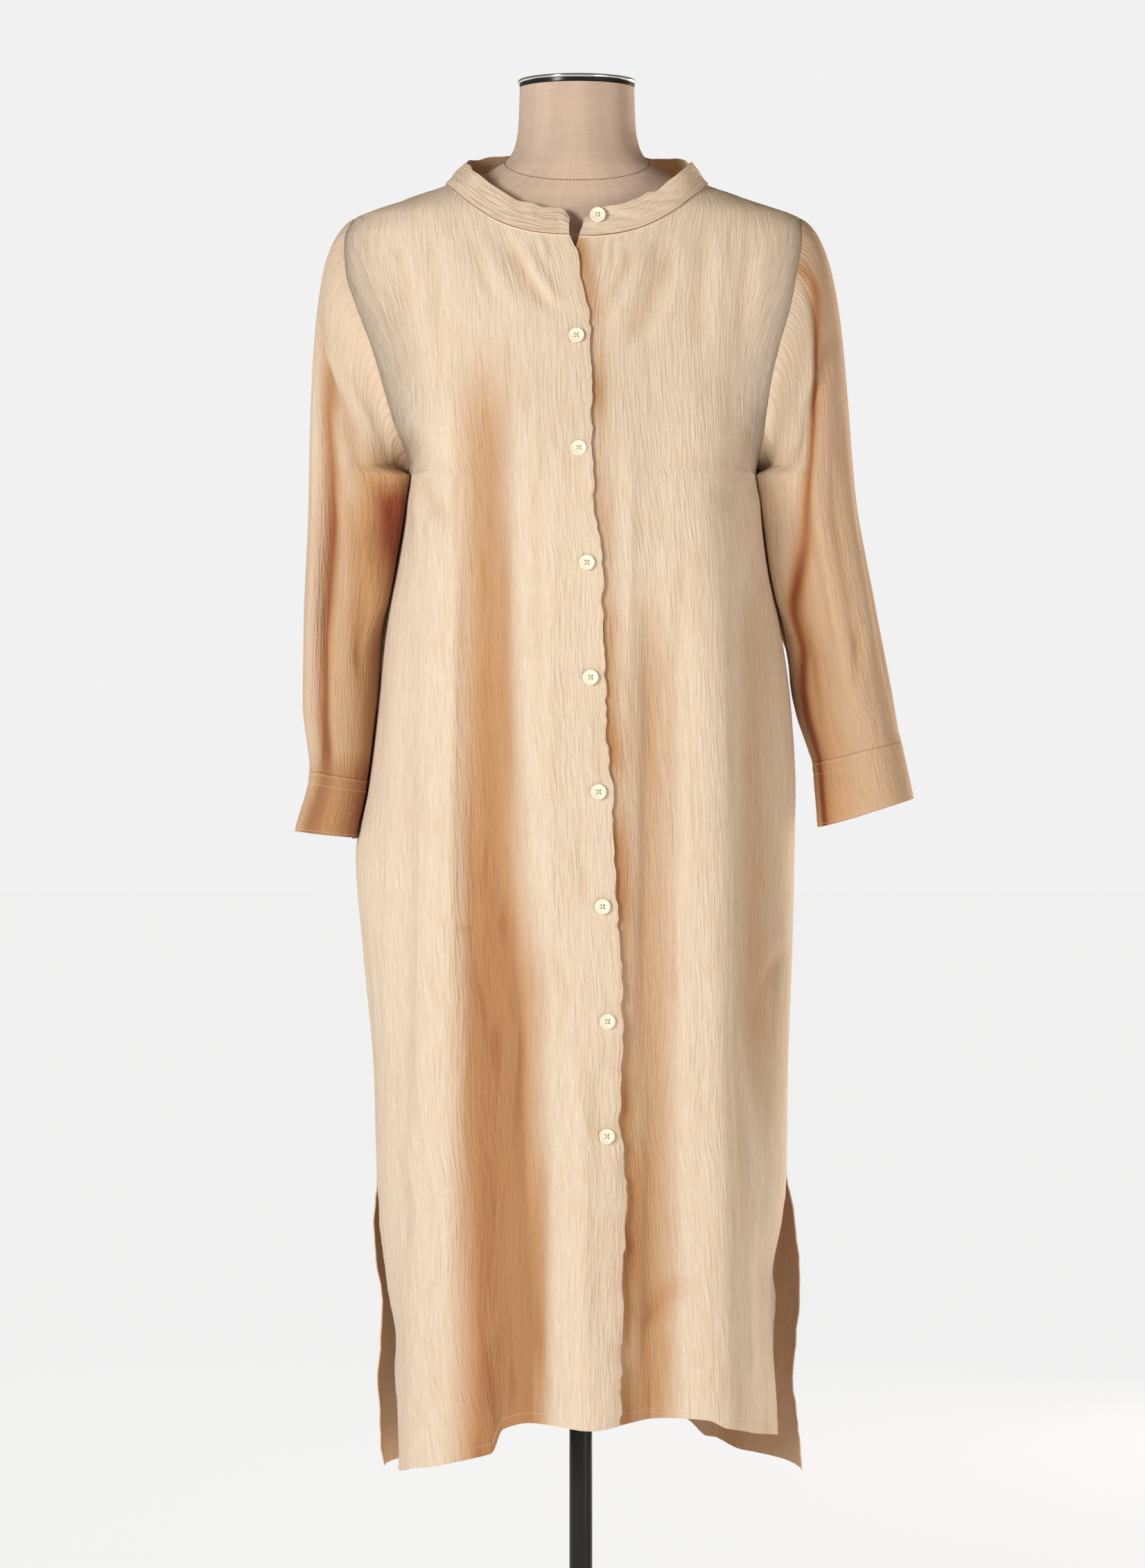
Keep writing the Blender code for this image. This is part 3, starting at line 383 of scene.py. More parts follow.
class Curve:
    """A smooth curve through its points that never swings past them."""

    def __init__(self, places: Sequence[float], values: Sequence[float]) -> None:
        """Works out the slope at each point.

        Args:
            places: rising places of the points.
            values: their values.
        """
        self.places = np.asarray(places, float)
        self.values = np.asarray(values, float)
        self.steps = np.diff(self.places)
        rises = np.diff(self.values) / self.steps
        self.slopes = np.zeros_like(self.values)
        self.slopes[0] = rises[0]
        self.slopes[-1] = rises[-1]
        for i in range(1, len(self.values) - 1):
            if rises[i - 1] * rises[i] > 0:
                before = 2 * self.steps[i] + self.steps[i - 1]
                after = self.steps[i] + 2 * self.steps[i - 1]
                mean = before / rises[i - 1] + after / rises[i]
                self.slopes[i] = (before + after) / mean

    def __call__(self, place: Real) -> Array:
        """Reads the curve.

        Args:
            place: where; past either end it keeps the end's value.

        Returns:
            The values there.
        """
        place = np.clip(place, self.places[0], self.places[-1])
        last = len(self.steps) - 1
        i = np.clip(np.searchsorted(self.places, place) - 1, 0, last)
        h = self.steps[i]
        t = (place - self.places[i]) / h
        low = (1 + 2 * t) * (1 - t) ** 2 * self.values[i] + t * (1 - t) ** 2 * h * self.slopes[i]
        high = t**2 * (3 - 2 * t) * self.values[i + 1] + t**2 * (t - 1) * h * self.slopes[i + 1]
        return low + high


def curves_of(rows: Sequence[object]) -> dict[str, Curve]:
    """One curve over height for each column of a table.

    Args:
        rows: rows of one dataclass with a height field, rising or falling.

    Returns:
        The curves by field name.
    """
    ordered = sorted(rows, key=lambda row: row.height)
    heights = [row.height for row in ordered]
    names = [name for name in vars(ordered[0]) if name != "height"]
    return {name: Curve(heights, [getattr(row, name) for row in ordered]) for name in names}


class Noise:
    """Smooth random values over a plane, the same on every run."""

    CELLS = 509

    def __init__(self, seed: int) -> None:
        """Draws the table of values.

        Args:
            seed: which of the patterns.
        """
        self.table = np.random.default_rng(seed).uniform(-1.0, 1.0, (self.CELLS, self.CELLS))

    def at(self, u: Array, v: Array, period: int = CELLS) -> Array:
        """Reads the pattern.

        Args:
            u: places across, in cells.
            v: places along, in cells.
            period: cells after which it repeats across.

        Returns:
            Values from -1 to 1.
        """
        i = np.floor(u).astype(int)
        j = np.floor(v).astype(int)
        s = fade(u - i)
        t = fade(v - j)
        left = i % period
        right = (i + 1) % period
        low = j % self.CELLS
        high = (j + 1) % self.CELLS
        near = self.table[left, low] * (1 - s) + self.table[right, low] * s
        far = self.table[left, high] * (1 - s) + self.table[right, high] * s
        return near * (1 - t) + far * t


# Fold and crease depths that give the full painted shade
FULL_FOLD = -0.026
FULL_CREASE = -0.006
GROOVE_DEPTH = 0.0004
GROOVE_WIDTH = 0.0012


@dataclass(frozen=True)
class Crinkle:
    """The fine uneven puckers of cotton gauze, drawn out along the grain."""

    seed: int
    spacing: float = 0.0044
    length: float = 0.052
    depth: float = 0.00026
    growth: float = 2.1
    share_growth: float = 0.95
    sizes: int = 3
    wander: float = 0.8
    wander_size: float = 0.050

    def height(self, u: Array, v: Array, around: float = 0.0) -> Array:
        """How far the puckers lift the cloth.

        Args:
            u: places across the cloth.
            v: places along it.
            around: length after which the piece closes on itself, or 0.

        Returns:
            Heights above the smooth cloth.
        """
        noise = Noise(self.seed)
        total = 0.0
        for number in range(self.sizes):
            spacing = self.spacing * self.growth**number
            length = self.length * self.growth**number
            cells = max(int(round(around / spacing)), 1) if around else Noise.CELLS
            scale = cells / around if around else 1.0 / spacing
            slow = u * scale / 6
            bend = noise.at(slow, v / self.wander_size + 3.5 * number, max(cells // 6, 1))
            drift = self.wander * bend
            value = noise.at(u * scale + drift, v / length + 17.3 * number, cells)
            total = total + self.share_growth**number * value * (0.8 + 0.5 * bend)
        return self.depth * total


def crease_relief(creases: Sequence[Crease], across: Array, height: Array) -> Array:
    """How far the creases carry the cloth outwards.

    Args:
        creases: the listed creases.
        across: places across the panel from the figure's middle.
        height: their heights.

    Returns:
        The relief at each place.
    """
    total = np.zeros(np.broadcast(across, height).shape)
    for crease in creases:
        run = np.array([crease.across_end - crease.across_start, crease.end - crease.start])
        length = float(np.hypot(*run))
        along = run / length
        from_start = (across - crease.across_start) * along[0] + (height - crease.start) * along[1]
        t = from_start / length
        off = (across - crease.across_start) * along[1] - (height - crease.start) * along[0]
        off = off - crease.bend * np.sin(np.pi * np.clip(t, 0.0, 1.0))
        width = crease.width * (1 + crease.lean * np.sign(off))
        ends = fade(t / 0.3) * fade((1 - t) / 0.3)
        total = total + crease.depth * ends * swell(off, width)
    return total


@dataclass(frozen=True)
class BodyShape:
    """The hang of the dress's body, out of which every panel is cut."""

    centre_x: float = -0.0035
    section_power: float = 2.15
    edge_fade: float = 0.12
    fold_start_fade: float = 0.12
    fold_end_fade: float = 0.16
    yoke_bottom: float = 1.220
    yoke_fade: float = 0.160
    seam_gap: float = 0.0004
    shoulder_tip: float = 1.424
    neck_point: float = 1.4535
    underarm: float = 1.188
    level: float = 1.100
    slit_top: float = 0.545
    tip_step: float = 0.000001
    ridge_step: float = 0.002
    neck_share: float = 0.38
    shoulder_share: float = 0.60
    armhole_crowding: float = 1.5
    neckline_front: float = 1.4000
    neckline_power: float = 2.6
    neckline_back: float = 1.4620
    body = curves_of(SECTIONS)
    seam = curves_of(ARMHOLE)
    closing = curves_of(CLOSING)

    def half_width(self, face: Face, side: Side, height: Real) -> Array:
        """Half the width of the oval at a height, on one side of the middle."""
        return self.body[f"{face.name}_{side.name}".lower()](height)

    def depth(self, face: Face, height: Real) -> Array:
        """Depth of the oval at a height."""
        return self.body[face.name.lower()](height)

    def seam_width(self, face: Face, side: Side, height: Real) -> Array:
        """Distance from the middle to the armhole, the side seam or the shoulder ridge."""
        inside = self.seam[f"{face.name}_{side.name}".lower()](height)
        in_armhole = (height < self.shoulder_tip) & (height > self.underarm)
        return np.where(in_armhole, inside, self.half_width(face, side, height))

    def ridge_height(self, side: Side, across: float) -> float:
        """Height of the shoulder ridge at a distance from the middle."""
        low = self.shoulder_tip - self.ridge_step
        heights = np.linspace(SECTIONS[-1].height, low, 200)
        return float(np.interp(across, self.half_width(Face.FRONT, side, heights), heights))

    def fold_depth(self, face: Face, across: Array, height: Array) -> Array:
        """How far the folds carry the cloth outwards.

        Args:
            face: front or back.
            across: places across from the figure's middle.
            height: their heights.

        Returns:
            The depth at each place.
        """
        total = np.zeros(np.broadcast(across, height).shape)
        for fold in FOLDS[face]:
            down = np.clip((fold.top - height) / (fold.top - fold.bottom), 0.0, 1.0)
            middle = between(fold.top_across, fold.bottom_across, down)
            width = between(fold.top_width, fold.bottom_width, down)
            depth = between(fold.top_depth, fold.bottom_depth, down)
            depth = depth * fade((fold.top - height) / self.fold_start_fade)
            if fold.bottom > SECTIONS[0].height:
                depth = depth * fade((height - fold.bottom) / self.fold_end_fade)
            reach = np.clip(np.abs(across - middle) / (2 * width), 0.0, 1.0)
            total = total + depth * np.cos(0.5 * math.pi * reach) ** 2
        return total

    def points(self, face: Face, side: Side, across: Array, height: Array) -> Array:
        """Outer points of the smooth cloth.

        Args:
            face: front or back.
            side: which side of the middle the table's columns are read for.
            across: signed distances across.
            height: heights.

        Returns:
            Points, the last axis x, y and z, measured from the figure's middle.
        """
        half = self.half_width(face, side, height)
        depth = self.depth(face, height)
        power = self.section_power
        share = np.clip(np.abs(across) / half, 0.0, 1.0)
        out = depth * (1 - share**power) ** (1 / power)
        edge = fade((1 - share) / self.edge_fade)
        slope_x = np.sign(across) * share / half
        slope_y = np.sqrt(np.clip(1 - share**2, 0.0, 1.0)) / depth
        length = np.hypot(slope_x, slope_y)
        moved = self.fold_depth(face, across, height) * edge
        x = across + moved * slope_x / length
        y = face.value * (out + moved * slope_y / length + self.seam_gap / 2)
        return np.stack([x, y, np.broadcast_to(height, x.shape)], axis=-1)

    def boundary_share(self, side: Side, height: Real) -> Array:
        """Which share of a panel's columns is still inside its edge at a height."""
        drop = self.shoulder_tip - self.underarm
        down = np.clip((self.shoulder_tip - height) / drop, 0.0, 1.0)
        armhole = between(self.shoulder_share, 1, down ** (1 / self.armhole_crowding))
        tip = self.half_width(Face.FRONT, side, self.shoulder_tip)
        neck = self.half_width(Face.FRONT, side, self.neck_point)
        along = (self.half_width(Face.FRONT, side, height) - neck) / (tip - neck)
        shoulder = between(self.neck_share, self.shoulder_share, along)
        return np.where(height > self.shoulder_tip, shoulder, armhole)

    def armhole_height(self, along: Real) -> Real:
        """Height on the armhole seam, from 0 at the shoulder's tip to 1 under the arm."""
        drop = (self.shoulder_tip - self.underarm) * along**self.armhole_crowding
        return self.shoulder_tip - self.tip_step - drop

    def across_at(
        self, face: Face, side: Side, share: float, height: Real, edge: Real
    ) -> Array:
        """Signed distance across of a column.

        Args:
            face: front or back.
            side: the wearer's right or left.
            share: the column's place, from 0 at the inner edge to 1 at the side seam.
            height: heights along the column.
            edge: where column 0 runs at those heights.

        Returns:
            The distances from the figure's middle.
        """
        boundary = self.seam_width(face, side, height)
        inner = np.clip(share / self.boundary_share(side, height), 0.0, 1.0)
        half = self.half_width(face, side, height)
        turn = np.arcsin(np.clip(boundary / half, 0.0, 1.0))
        round_spread = np.sin(turn * inner) / np.sin(turn)
        flat = fade((height - self.yoke_bottom) / self.yoke_fade)
        spread = round_spread * (1 - flat) + inner * flat
        return edge + (side.value * boundary - edge) * spread

    def neckline_height(self, face: Face, side: Side, across: float) -> float:
        """Height of the neckline at a distance from the middle."""
        neck = self.half_width(Face.FRONT, side, self.neck_point)
        share = float(np.clip(np.abs(across) / neck, 0.0, 1.0))
        if face is Face.BACK:
            return between(self.neck_point, self.neckline_back, 1 - share**2)
        return between(self.neckline_front, self.neck_point, share**self.neckline_power)

    def edge(self, face: Face, side: Side, height: Real) -> Real:
        """Where a panel's inner edge runs: the closing in front, the middle behind."""
        if face is Face.BACK:
            return np.zeros_like(height)
        if side is Side.RIGHT:
            return self.closing["edge"](height)
        return self.closing["edge"](height) - self.closing["overlap"](height)

    def top_height(self, face: Face, side: Side, share: float) -> float:
        """Height at which a column meets the neckline, the shoulder seam or the armhole."""
        if share >= self.shoulder_share:
            along = (share - self.shoulder_share) / (1 - self.shoulder_share)
            return self.armhole_height(along)
        if share >= self.neck_share:
            tip = self.half_width(Face.FRONT, side, self.shoulder_tip)
            neck = self.half_width(Face.FRONT, side, self.neck_point)
            along = (share - self.neck_share) / (self.shoulder_share - self.neck_share)
            return self.ridge_height(side, between(neck, tip, along))
        height = self.neckline_front if face is Face.FRONT else self.neckline_back
        for _ in range(12):
            across = self.across_at(face, side, share, height, self.edge(face, side, height))
            height = self.neckline_height(face, side, float(across))
        return height

    def hem_height(self, face: Face, side: Side, across: float) -> float:
        """Height of the hem below a place."""
        hem = FRONT_HEM if face is Face.FRONT else BACK_HEM
        drop = hem.drop_right if side is Side.RIGHT else hem.drop_left
        half = self.half_width(face, side, hem.middle)
        return hem.middle - drop * float(np.clip(abs(across) / half, 0.0, 1.0)) ** hem.power


SHAPE = BodyShape()
MIDDLE = np.array([SHAPE.centre_x, 0.0, 0.0])


def linked(name: str, data: bpy.types.ID) -> Object:
    """A new object in the scene."""
    obj = bpy.data.objects.new(name, data)
    bpy.context.collection.objects.link(obj)
    return obj


def unit(vectors: Array) -> Array:
    """The vectors, each made one long."""
    return vectors / np.linalg.norm(vectors, axis=-1, keepdims=True)


def normals_of(grid: Array, ring: bool = False) -> Array:
    """Unit normals of a grid of points.

    Args:
        grid: points, columns by rows.
        ring: whether the last column meets the first.

    Returns:
        One normal for each point, from its neighbours each way.
    """
    if ring:
        around = np.roll(grid, -1, axis=0) - np.roll(grid, 1, axis=0)
    else:
        around = np.gradient(grid, axis=0)
    return unit(np.cross(around, np.gradient(grid, axis=1)))


def run_lengths(grid: Array, axis: int) -> Array:
    """Length of cloth from the first column or row to each point.

    Args:
        grid: points, columns by rows.
        axis: 0 across the columns, 1 down the rows.

    Returns:
        The lengths, columns by rows.
    """
    steps = np.linalg.norm(np.diff(grid, axis=axis), axis=-1)
    start = np.zeros_like(np.take(steps, [0], axis=axis))
    return np.concatenate([start, np.cumsum(steps, axis=axis)], axis=axis)


@dataclass
class Shell:
    """A piece of thin cloth as a closed mesh: outer points, inner points and rims.

    place holds each point's place along the cloth, across and down, for the weave; a
    ring has one more column of it than of points. painted_shade is how much shade is
    painted into the cloth's colour at each point, more in its folds and creases.
    """

    name: str
    outer: Array
    normals: Array
    wall: float
    place: Array
    painted_shade: Array
    ring: bool = False
    # Painted shade on the inner face: its points get at least this much of it
    inside: float = 0.42

    def corners(self) -> tuple[Array, Array, Array]:
        """Column, row and layer of every corner of every face.

        Returns:
            Three arrays, faces by four corners.
        """
        columns, rows = self.outer.shape[:2]
        steps = columns if self.ring else columns - 1
        i, j = np.meshgrid(np.arange(steps), np.arange(rows - 1), indexing="ij")
        i = i.reshape(-1, 1)
        j = j.reshape(-1, 1)
        one = np.ones_like(i)
        k = np.arange(steps).reshape(-1, 1)
        ends = np.full_like(k, rows - 1)
        parts = [
            (i + [[0, 1, 1, 0]], j + [[0, 0, 1, 1]], one * [[0, 0, 0, 0]]),
            (i + [[0, 0, 1, 1]], j + [[0, 1, 1, 0]], one * [[1, 1, 1, 1]]),
            (k + [[0, 0, 1, 1]], 0 * ends + [[0, 0, 0, 0]], 0 * k + [[0, 1, 1, 0]]),
            (k + [[0, 1, 1, 0]], ends + [[0, 0, 0, 0]], 0 * k + [[0, 0, 1, 1]]),
        ]
        if not self.ring:
            m = np.arange(rows - 1).reshape(-1, 1)
            far = np.full_like(m, columns - 1)
            parts.append((0 * m + [[0, 0, 0, 0]], m + [[0, 1, 1, 0]], 0 * m + [[0, 0, 1, 1]]))
            parts.append((far + [[0, 0, 0, 0]], m + [[0, 0, 1, 1]], 0 * m + [[0, 1, 1, 0]]))
        return tuple(np.concatenate([part[n] for part in parts]) for n in range(3))

    def build(self) -> Object:
        """Makes the mesh object.

        Returns:
            The object, linked to the scene, facing out.
        """
        columns, rows = self.outer.shape[:2]
        inner = self.outer - self.normals * self.wall
        points = np.concatenate([self.outer.reshape(-1, 3), inner.reshape(-1, 3)])
        points = points + MIDDLE
        i, j, layer = self.corners()
        faces = (i % columns) * rows + j + layer * columns * rows
        first = points[faces[0]]
        facing = np.cross(first[1] - first[0], first[3] - first[0])
        if facing @ self.normals[0, 0] < 0:
            faces = faces[:, ::-1]
            i = i[:, ::-1]
            j = j[:, ::-1]
        mesh = bpy.data.meshes.new(self.name)
        mesh.from_pydata(points.tolist(), [], faces.tolist())
        place = mesh.attributes.new("cloth_place", "FLOAT_VECTOR", "CORNER")
        values = np.zeros((i.size, 3), np.float32)
        values[:, :2] = self.place[i.reshape(-1), j.reshape(-1)]
        place.data.foreach_set("vector", values.reshape(-1))
        # Stores the painted shade for the gauze's colour, with at least inside of it on the inner face
        painted_shade = mesh.attributes.new("cloth_painted_shade", "FLOAT", "POINT")
        deep_shade = np.clip(self.painted_shade, 0.0, 1.0).reshape(-1)
        both = np.concatenate([deep_shade, np.maximum(deep_shade, self.inside)])
        painted_shade.data.foreach_set("value", both.astype(np.float32))
        mesh.shade_smooth()
        mesh.set_sharp_from_angle(angle=math.radians(60))
        mesh.update()
        return linked(self.name, mesh)

    def area(self) -> float:
        """Area of one side of the cloth."""
        a = np.linalg.norm(np.diff(self.outer, axis=0), axis=-1)[:, :-1]
        b = np.linalg.norm(np.diff(self.outer, axis=1), axis=-1)[:-1]
        return float((a * b).sum())

    def line(self, axis: int, end: End, distance: float) -> tuple[Array, Array]:
        """A line on the cloth at a distance from one of its edges.

        Args:
            axis: 0 for a line along a side edge, 1 for one along the top or bottom.
            end: which of the two edges.
            distance: how far in from it.

        Returns:
            Points and normals along the line.
        """
        grid = self.outer if axis == 1 else self.outer.swapaxes(0, 1)
        normals = self.normals if axis == 1 else self.normals.swapaxes(0, 1)
        if end is End.LAST:
            grid = grid[:, ::-1]
            normals = normals[:, ::-1]
        lengths = run_lengths(grid, 1)
        points = []
        ways = []
        for n in range(len(grid)):
            points.append([np.interp(distance, lengths[n], grid[n, :, c]) for c in range(3)])
            ways.append([np.interp(distance, lengths[n], normals[n, :, c]) for c in range(3)])
        return np.array(points), unit(np.array(ways))


class Graph:
    """Adds nodes to a tree, each set and linked in one call."""

    def __init__(self, tree: NodeTree) -> None:
        """Keeps the tree."""
        self.tree = tree

    def add(self, kind: str, inputs: dict | None = None, **settings: object) -> Node:
        """Adds one node.

        Args:
            kind: the node's type, without its ShaderNode prefix.
            inputs: values or sockets by input name or number.
            settings: the node's own settings.

        Returns:
            The node.
        """
        node = self.tree.nodes.new("ShaderNode" + kind)
        for name, value in settings.items():
            setattr(node, name, value)
        return self.fill(node, inputs or {})

    def fill(self, node: Node, inputs: dict) -> Node:
        """Sets a node's inputs, or links them.

        Args:
            node: the node.
            inputs: values or sockets by input name or number.

        Returns:
            The same node.
        """
        for name, value in inputs.items():
            if isinstance(value, NodeSocket):
                self.tree.links.new(value, node.inputs[name])
            else:
                node.inputs[name].default_value = value
        return node

    def sum(self, operation: str, *values: object) -> NodeSocket:
        """The result of one Math node."""
        return self.add("Math", dict(enumerate(values)), operation=operation).outputs[0]

    def mix(self, factor: object, first: object, second: object) -> NodeSocket:
        """A colour between two, by a factor."""
        return self.add("Mix", {0: factor, 6: first, 7: second}, data_type="RGBA").outputs[2]

    def group(self, tree: NodeTree, inputs: dict) -> Node:
        """Places a node group with its own values."""
        return self.add("Group", inputs, node_tree=tree)


def new_group(name: str, inputs: Sequence[str], outputs: Sequence[str]) -> tuple[Graph, Node, Node]:
    """An empty shader node group that takes a Place and some numbers.

    Args:
        name: the group's name.
        inputs: names of the numbers.
        outputs: names of its results.

    Returns:
        Its graph, its input node and its output node.
    """
    tree = bpy.data.node_groups.new(name, "ShaderNodeTree")
    tree.interface.new_socket("Place", in_out="INPUT", socket_type="NodeSocketVector")
    for way, sockets in (("INPUT", inputs), ("OUTPUT", outputs)):
        for socket in sockets:
            tree.interface.new_socket(socket, in_out=way, socket_type="NodeSocketFloat")
    return Graph(tree), tree.nodes.new("NodeGroupInput"), tree.nodes.new("NodeGroupOutput")


def weave_group() -> NodeTree:
    """Warp and weft of a plain weave, with uneven yarns.

    Returns:
        A group that gives the threads' Height, and Slub, how thick the yarn is there.
    """
    found = bpy.data.node_groups.get("Plain weave")
    if found:
        return found
    graph, source, result = new_group("Plain weave", ("Threads", "Slub size"), ("Height", "Slub"))
    split = graph.add("SeparateXYZ", {0: source.outputs["Place"]})
    waves = []
    for number in range(2):
        turns = graph.sum("MULTIPLY", split.outputs[number], source.outputs["Threads"])
        waves.append(graph.sum("SINE", graph.sum("MULTIPLY", turns, 2 * math.pi)))
    crossing = graph.sum("MULTIPLY", waves[0], waves[1])
    height = graph.sum("ABSOLUTE", graph.sum("ADD", waves[0], waves[1]))
    height = graph.sum("ADD", graph.sum("MULTIPLY", height, 0.35), crossing)
    streaks = []
    for stretch in ((1.0, 0.05, 1.0), (0.05, 1.0, 1.0)):
        long = graph.add("Mapping", {"Vector": source.outputs["Place"], "Scale": stretch})
        size = source.outputs["Slub size"]
        noise = graph.add("TexNoise", {"Vector": long.outputs[0], "Scale": size, "Detail": 2.0})
        streaks.append(noise.outputs[0])
    slub = graph.sum("MULTIPLY", graph.sum("ADD", *streaks), 0.5)
    graph.fill(result, {"Height": height, "Slub": slub})
    return graph.tree


def crinkle_group() -> NodeTree:
    """The finest puckers of the gauze, too small for the mesh.

    Returns:
        A group that gives the puckers' Height and a slow, cloudy Shade.
    """
    graph, source, result = new_group("Gauze crinkle", ("Size", "Stretch"), ("Height", "Shade"))
    split = graph.add("SeparateXYZ", {0: source.outputs["Place"]})
    drawn = graph.sum("DIVIDE", split.outputs[1], source.outputs["Stretch"])
    long = graph.add("CombineXYZ", {0: split.outputs[0], 1: drawn})
    fine = graph.add(
        "TexNoise",
        {"Vector": long.outputs[0], "Scale": source.outputs["Size"], "Detail": 3.0, "Distortion": 0.4},
    )
    cloudy = graph.add("TexNoise", {"Vector": source.outputs["Place"], "Scale": 14.0, "Detail": 2.0})
    graph.fill(result, {"Height": fine.outputs[0], "Shade": cloudy.outputs[0]})
    return graph.tree


Colour = tuple[float, float, float, float]


def plain_material(name: str) -> tuple[Material, Graph, Node]:
    """A new material.

    Args:
        name: its name.

    Returns:
        The material, its graph and its Principled shader.
    """
    material = bpy.data.materials.new(name)
    material.use_nodes = True
    return material, Graph(material.node_tree), material.node_tree.nodes["Principled BSDF"]


@dataclass(frozen=True)
class GauzeFinish:
    """Crinkled cotton gauze in apricot, matt, with painted shade, darker and redder, in its folds and
    creases.
    """

    name: str = "apricot gauze"
    light: Colour = (0.900, 0.785, 0.635, 1.0)
    dark: Colour = (0.800, 0.625, 0.440, 1.0)
    # Colours of painted shade, darker and redder for the deepest folds, from the given share on
    deep_shade: Colour = (0.600, 0.330, 0.150, 1.0)
    deepest_shade: Colour = (0.330, 0.085, 0.035, 1.0)
    deepest_shade_from: float = 0.62
    threads: float = 1100.0
    slub_size: float = 900.0
    crinkle_size: float = 420.0
    crinkle_stretch: float = 11.0
    crinkle_depth: float = 0.0020
    weave_depth: float = 0.00012
    sheen: float = 0.10
    through: float = 0.24

    def build(self) -> Material:
        """Makes the material.

        Returns:
            The material.
        """
        material, graph, shader = plain_material(self.name)
        place = graph.add("Attribute", attribute_name="cloth_place").outputs["Vector"]
        painted_shade = graph.add("Attribute", attribute_name="cloth_painted_shade").outputs["Fac"]
        values = {"Place": place, "Threads": self.threads, "Slub size": self.slub_size}
        weave = graph.group(weave_group(), values)
        values = {"Place": place, "Size": self.crinkle_size, "Stretch": self.crinkle_stretch}
        crinkle = graph.group(crinkle_group(), values)
        # Painted shade in the crinkle's valleys darkens the colour there; the yarn's slubs and a cloudy
        # noise add tone that differs at random
        ridge = graph.add("MapRange", {0: crinkle.outputs["Height"], 1: 0.32, 2: 0.68, 3: 1.0, 4: 0.0})
        yarn = graph.add("MapRange", {0: weave.outputs["Slub"], 1: 0.35, 2: 0.65})
        tone = graph.sum("MULTIPLY", ridge.outputs[0], 0.55)
        tone = graph.sum("MULTIPLY_ADD", yarn.outputs[0], 0.25, tone)
        tone = graph.sum("MULTIPLY_ADD", crinkle.outputs["Shade"], 0.20, tone)
        colour = graph.mix(tone, self.light, self.dark)
        # Painted shade: the colour goes towards the two shade colours where more shade is painted on the
        # cloth
        first = graph.add("MapRange", {0: painted_shade, 1: 0.0, 2: self.deepest_shade_from})
        second = graph.add("MapRange", {0: painted_shade, 1: self.deepest_shade_from, 2: 1.0})
        colour = graph.mix(first.outputs[0], colour, self.deep_shade)
        colour = graph.mix(second.outputs[0], colour, self.deepest_shade)
        height, depth = weave.outputs["Height"], self.weave_depth
        fine = graph.add("Bump", {"Height": height, "Distance": depth, "Strength": 0.5})
        height, depth = crinkle.outputs["Height"], self.crinkle_depth
        bump = graph.add("Bump", {"Height": height, "Distance": depth, "Strength": 1.0})
        graph.fill(bump, {"Normal": fine.outputs[0]})
        graph.fill(shader, {"Base Color": colour, "Normal": bump.outputs[0], "Roughness": 0.92})
        graph.fill(shader, {"Specular IOR Level": 0.2, "Sheen Weight": self.sheen})
        graph.fill(shader, {"Sheen Roughness": 0.5, "Sheen Tint": (1.0, 0.86, 0.70, 1.0)})
        glow = graph.add("BsdfTranslucent", {"Color": colour, "Normal": bump.outputs[0]})
        both = graph.add("MixShader", {0: self.through, 1: shader.outputs[0], 2: glow.outputs[0]})
        graph.fill(graph.tree.nodes["Material Output"], {"Surface": both.outputs[0]})
        return material


@dataclass(frozen=True)
class ThreadFinish:
    """Sewing thread, a shade off the cloth, with the twist of its plies."""

    name: str = "sewing thread"
    light: Colour = (0.84, 0.70, 0.55, 1.0)
    dark: Colour = (0.58, 0.42, 0.28, 1.0)
    twist: float = 2600.0

    def build(self) -> Material:
        """Makes the material.

        Returns:
            The material.
        """
        material, graph, shader = plain_material(self.name)
        place = graph.add("TexCoord").outputs["Object"]
        values = {"Vector": place, "Scale": self.twist, "Distortion": 1.0}
        plies = graph.add("TexWave", values, bands_direction="DIAGONAL")
        colour = graph.mix(plies.outputs[1], self.dark, self.light)
        bump = graph.add("Bump", {"Height": plies.outputs[1], "Distance": 0.00005})
        graph.fill(shader, {"Base Color": colour, "Normal": bump.outputs[0], "Roughness": 0.65})
        return material


@dataclass(frozen=True)
class LinenFinish:
    """The form's cover: sandy brown linen in a small herringbone."""

    name: str = "linen cover"
    light: Colour = (0.600, 0.455, 0.350, 1.0)
    dark: Colour = (0.450, 0.315, 0.230, 1.0)
    threads: float = 620.0
    rib: float = 85.0

    def build(self) -> Material:
        """Makes the material.

        Returns:
            The material.
        """
        material, graph, shader = plain_material(self.name)
        place = graph.add("Attribute", attribute_name="cloth_place").outputs["Vector"]
        weave = graph.group(weave_group(), {"Place": place, "Threads": self.threads, "Slub size": 420.0})
        split = graph.add("SeparateXYZ", {0: place})
        column = graph.sum("PINGPONG", split.outputs[0], 1.0 / self.rib)
        slope = graph.sum("ADD", column, split.outputs[1])
        twill = graph.sum("SINE", graph.sum("MULTIPLY", slope, 2 * math.pi * self.threads))
        tone = graph.add("MapRange", {0: weave.outputs["Slub"], 1: 0.30, 2: 0.70, 3: 0.2, 4: 0.7})
        tone = graph.sum("MULTIPLY_ADD", twill, 0.16, tone.outputs[0])
        colour = graph.mix(tone, self.light, self.dark)
        height = graph.sum("MULTIPLY_ADD", twill, 0.5, weave.outputs["Height"])
        bump = graph.add("Bump", {"Height": height, "Distance": 0.0002, "Strength": 0.6})
        graph.fill(shader, {"Base Color": colour, "Normal": bump.outputs[0], "Roughness": 0.86})
        graph.fill(shader, {"Specular IOR Level": 0.3, "Sheen Weight": 0.12})
        return material


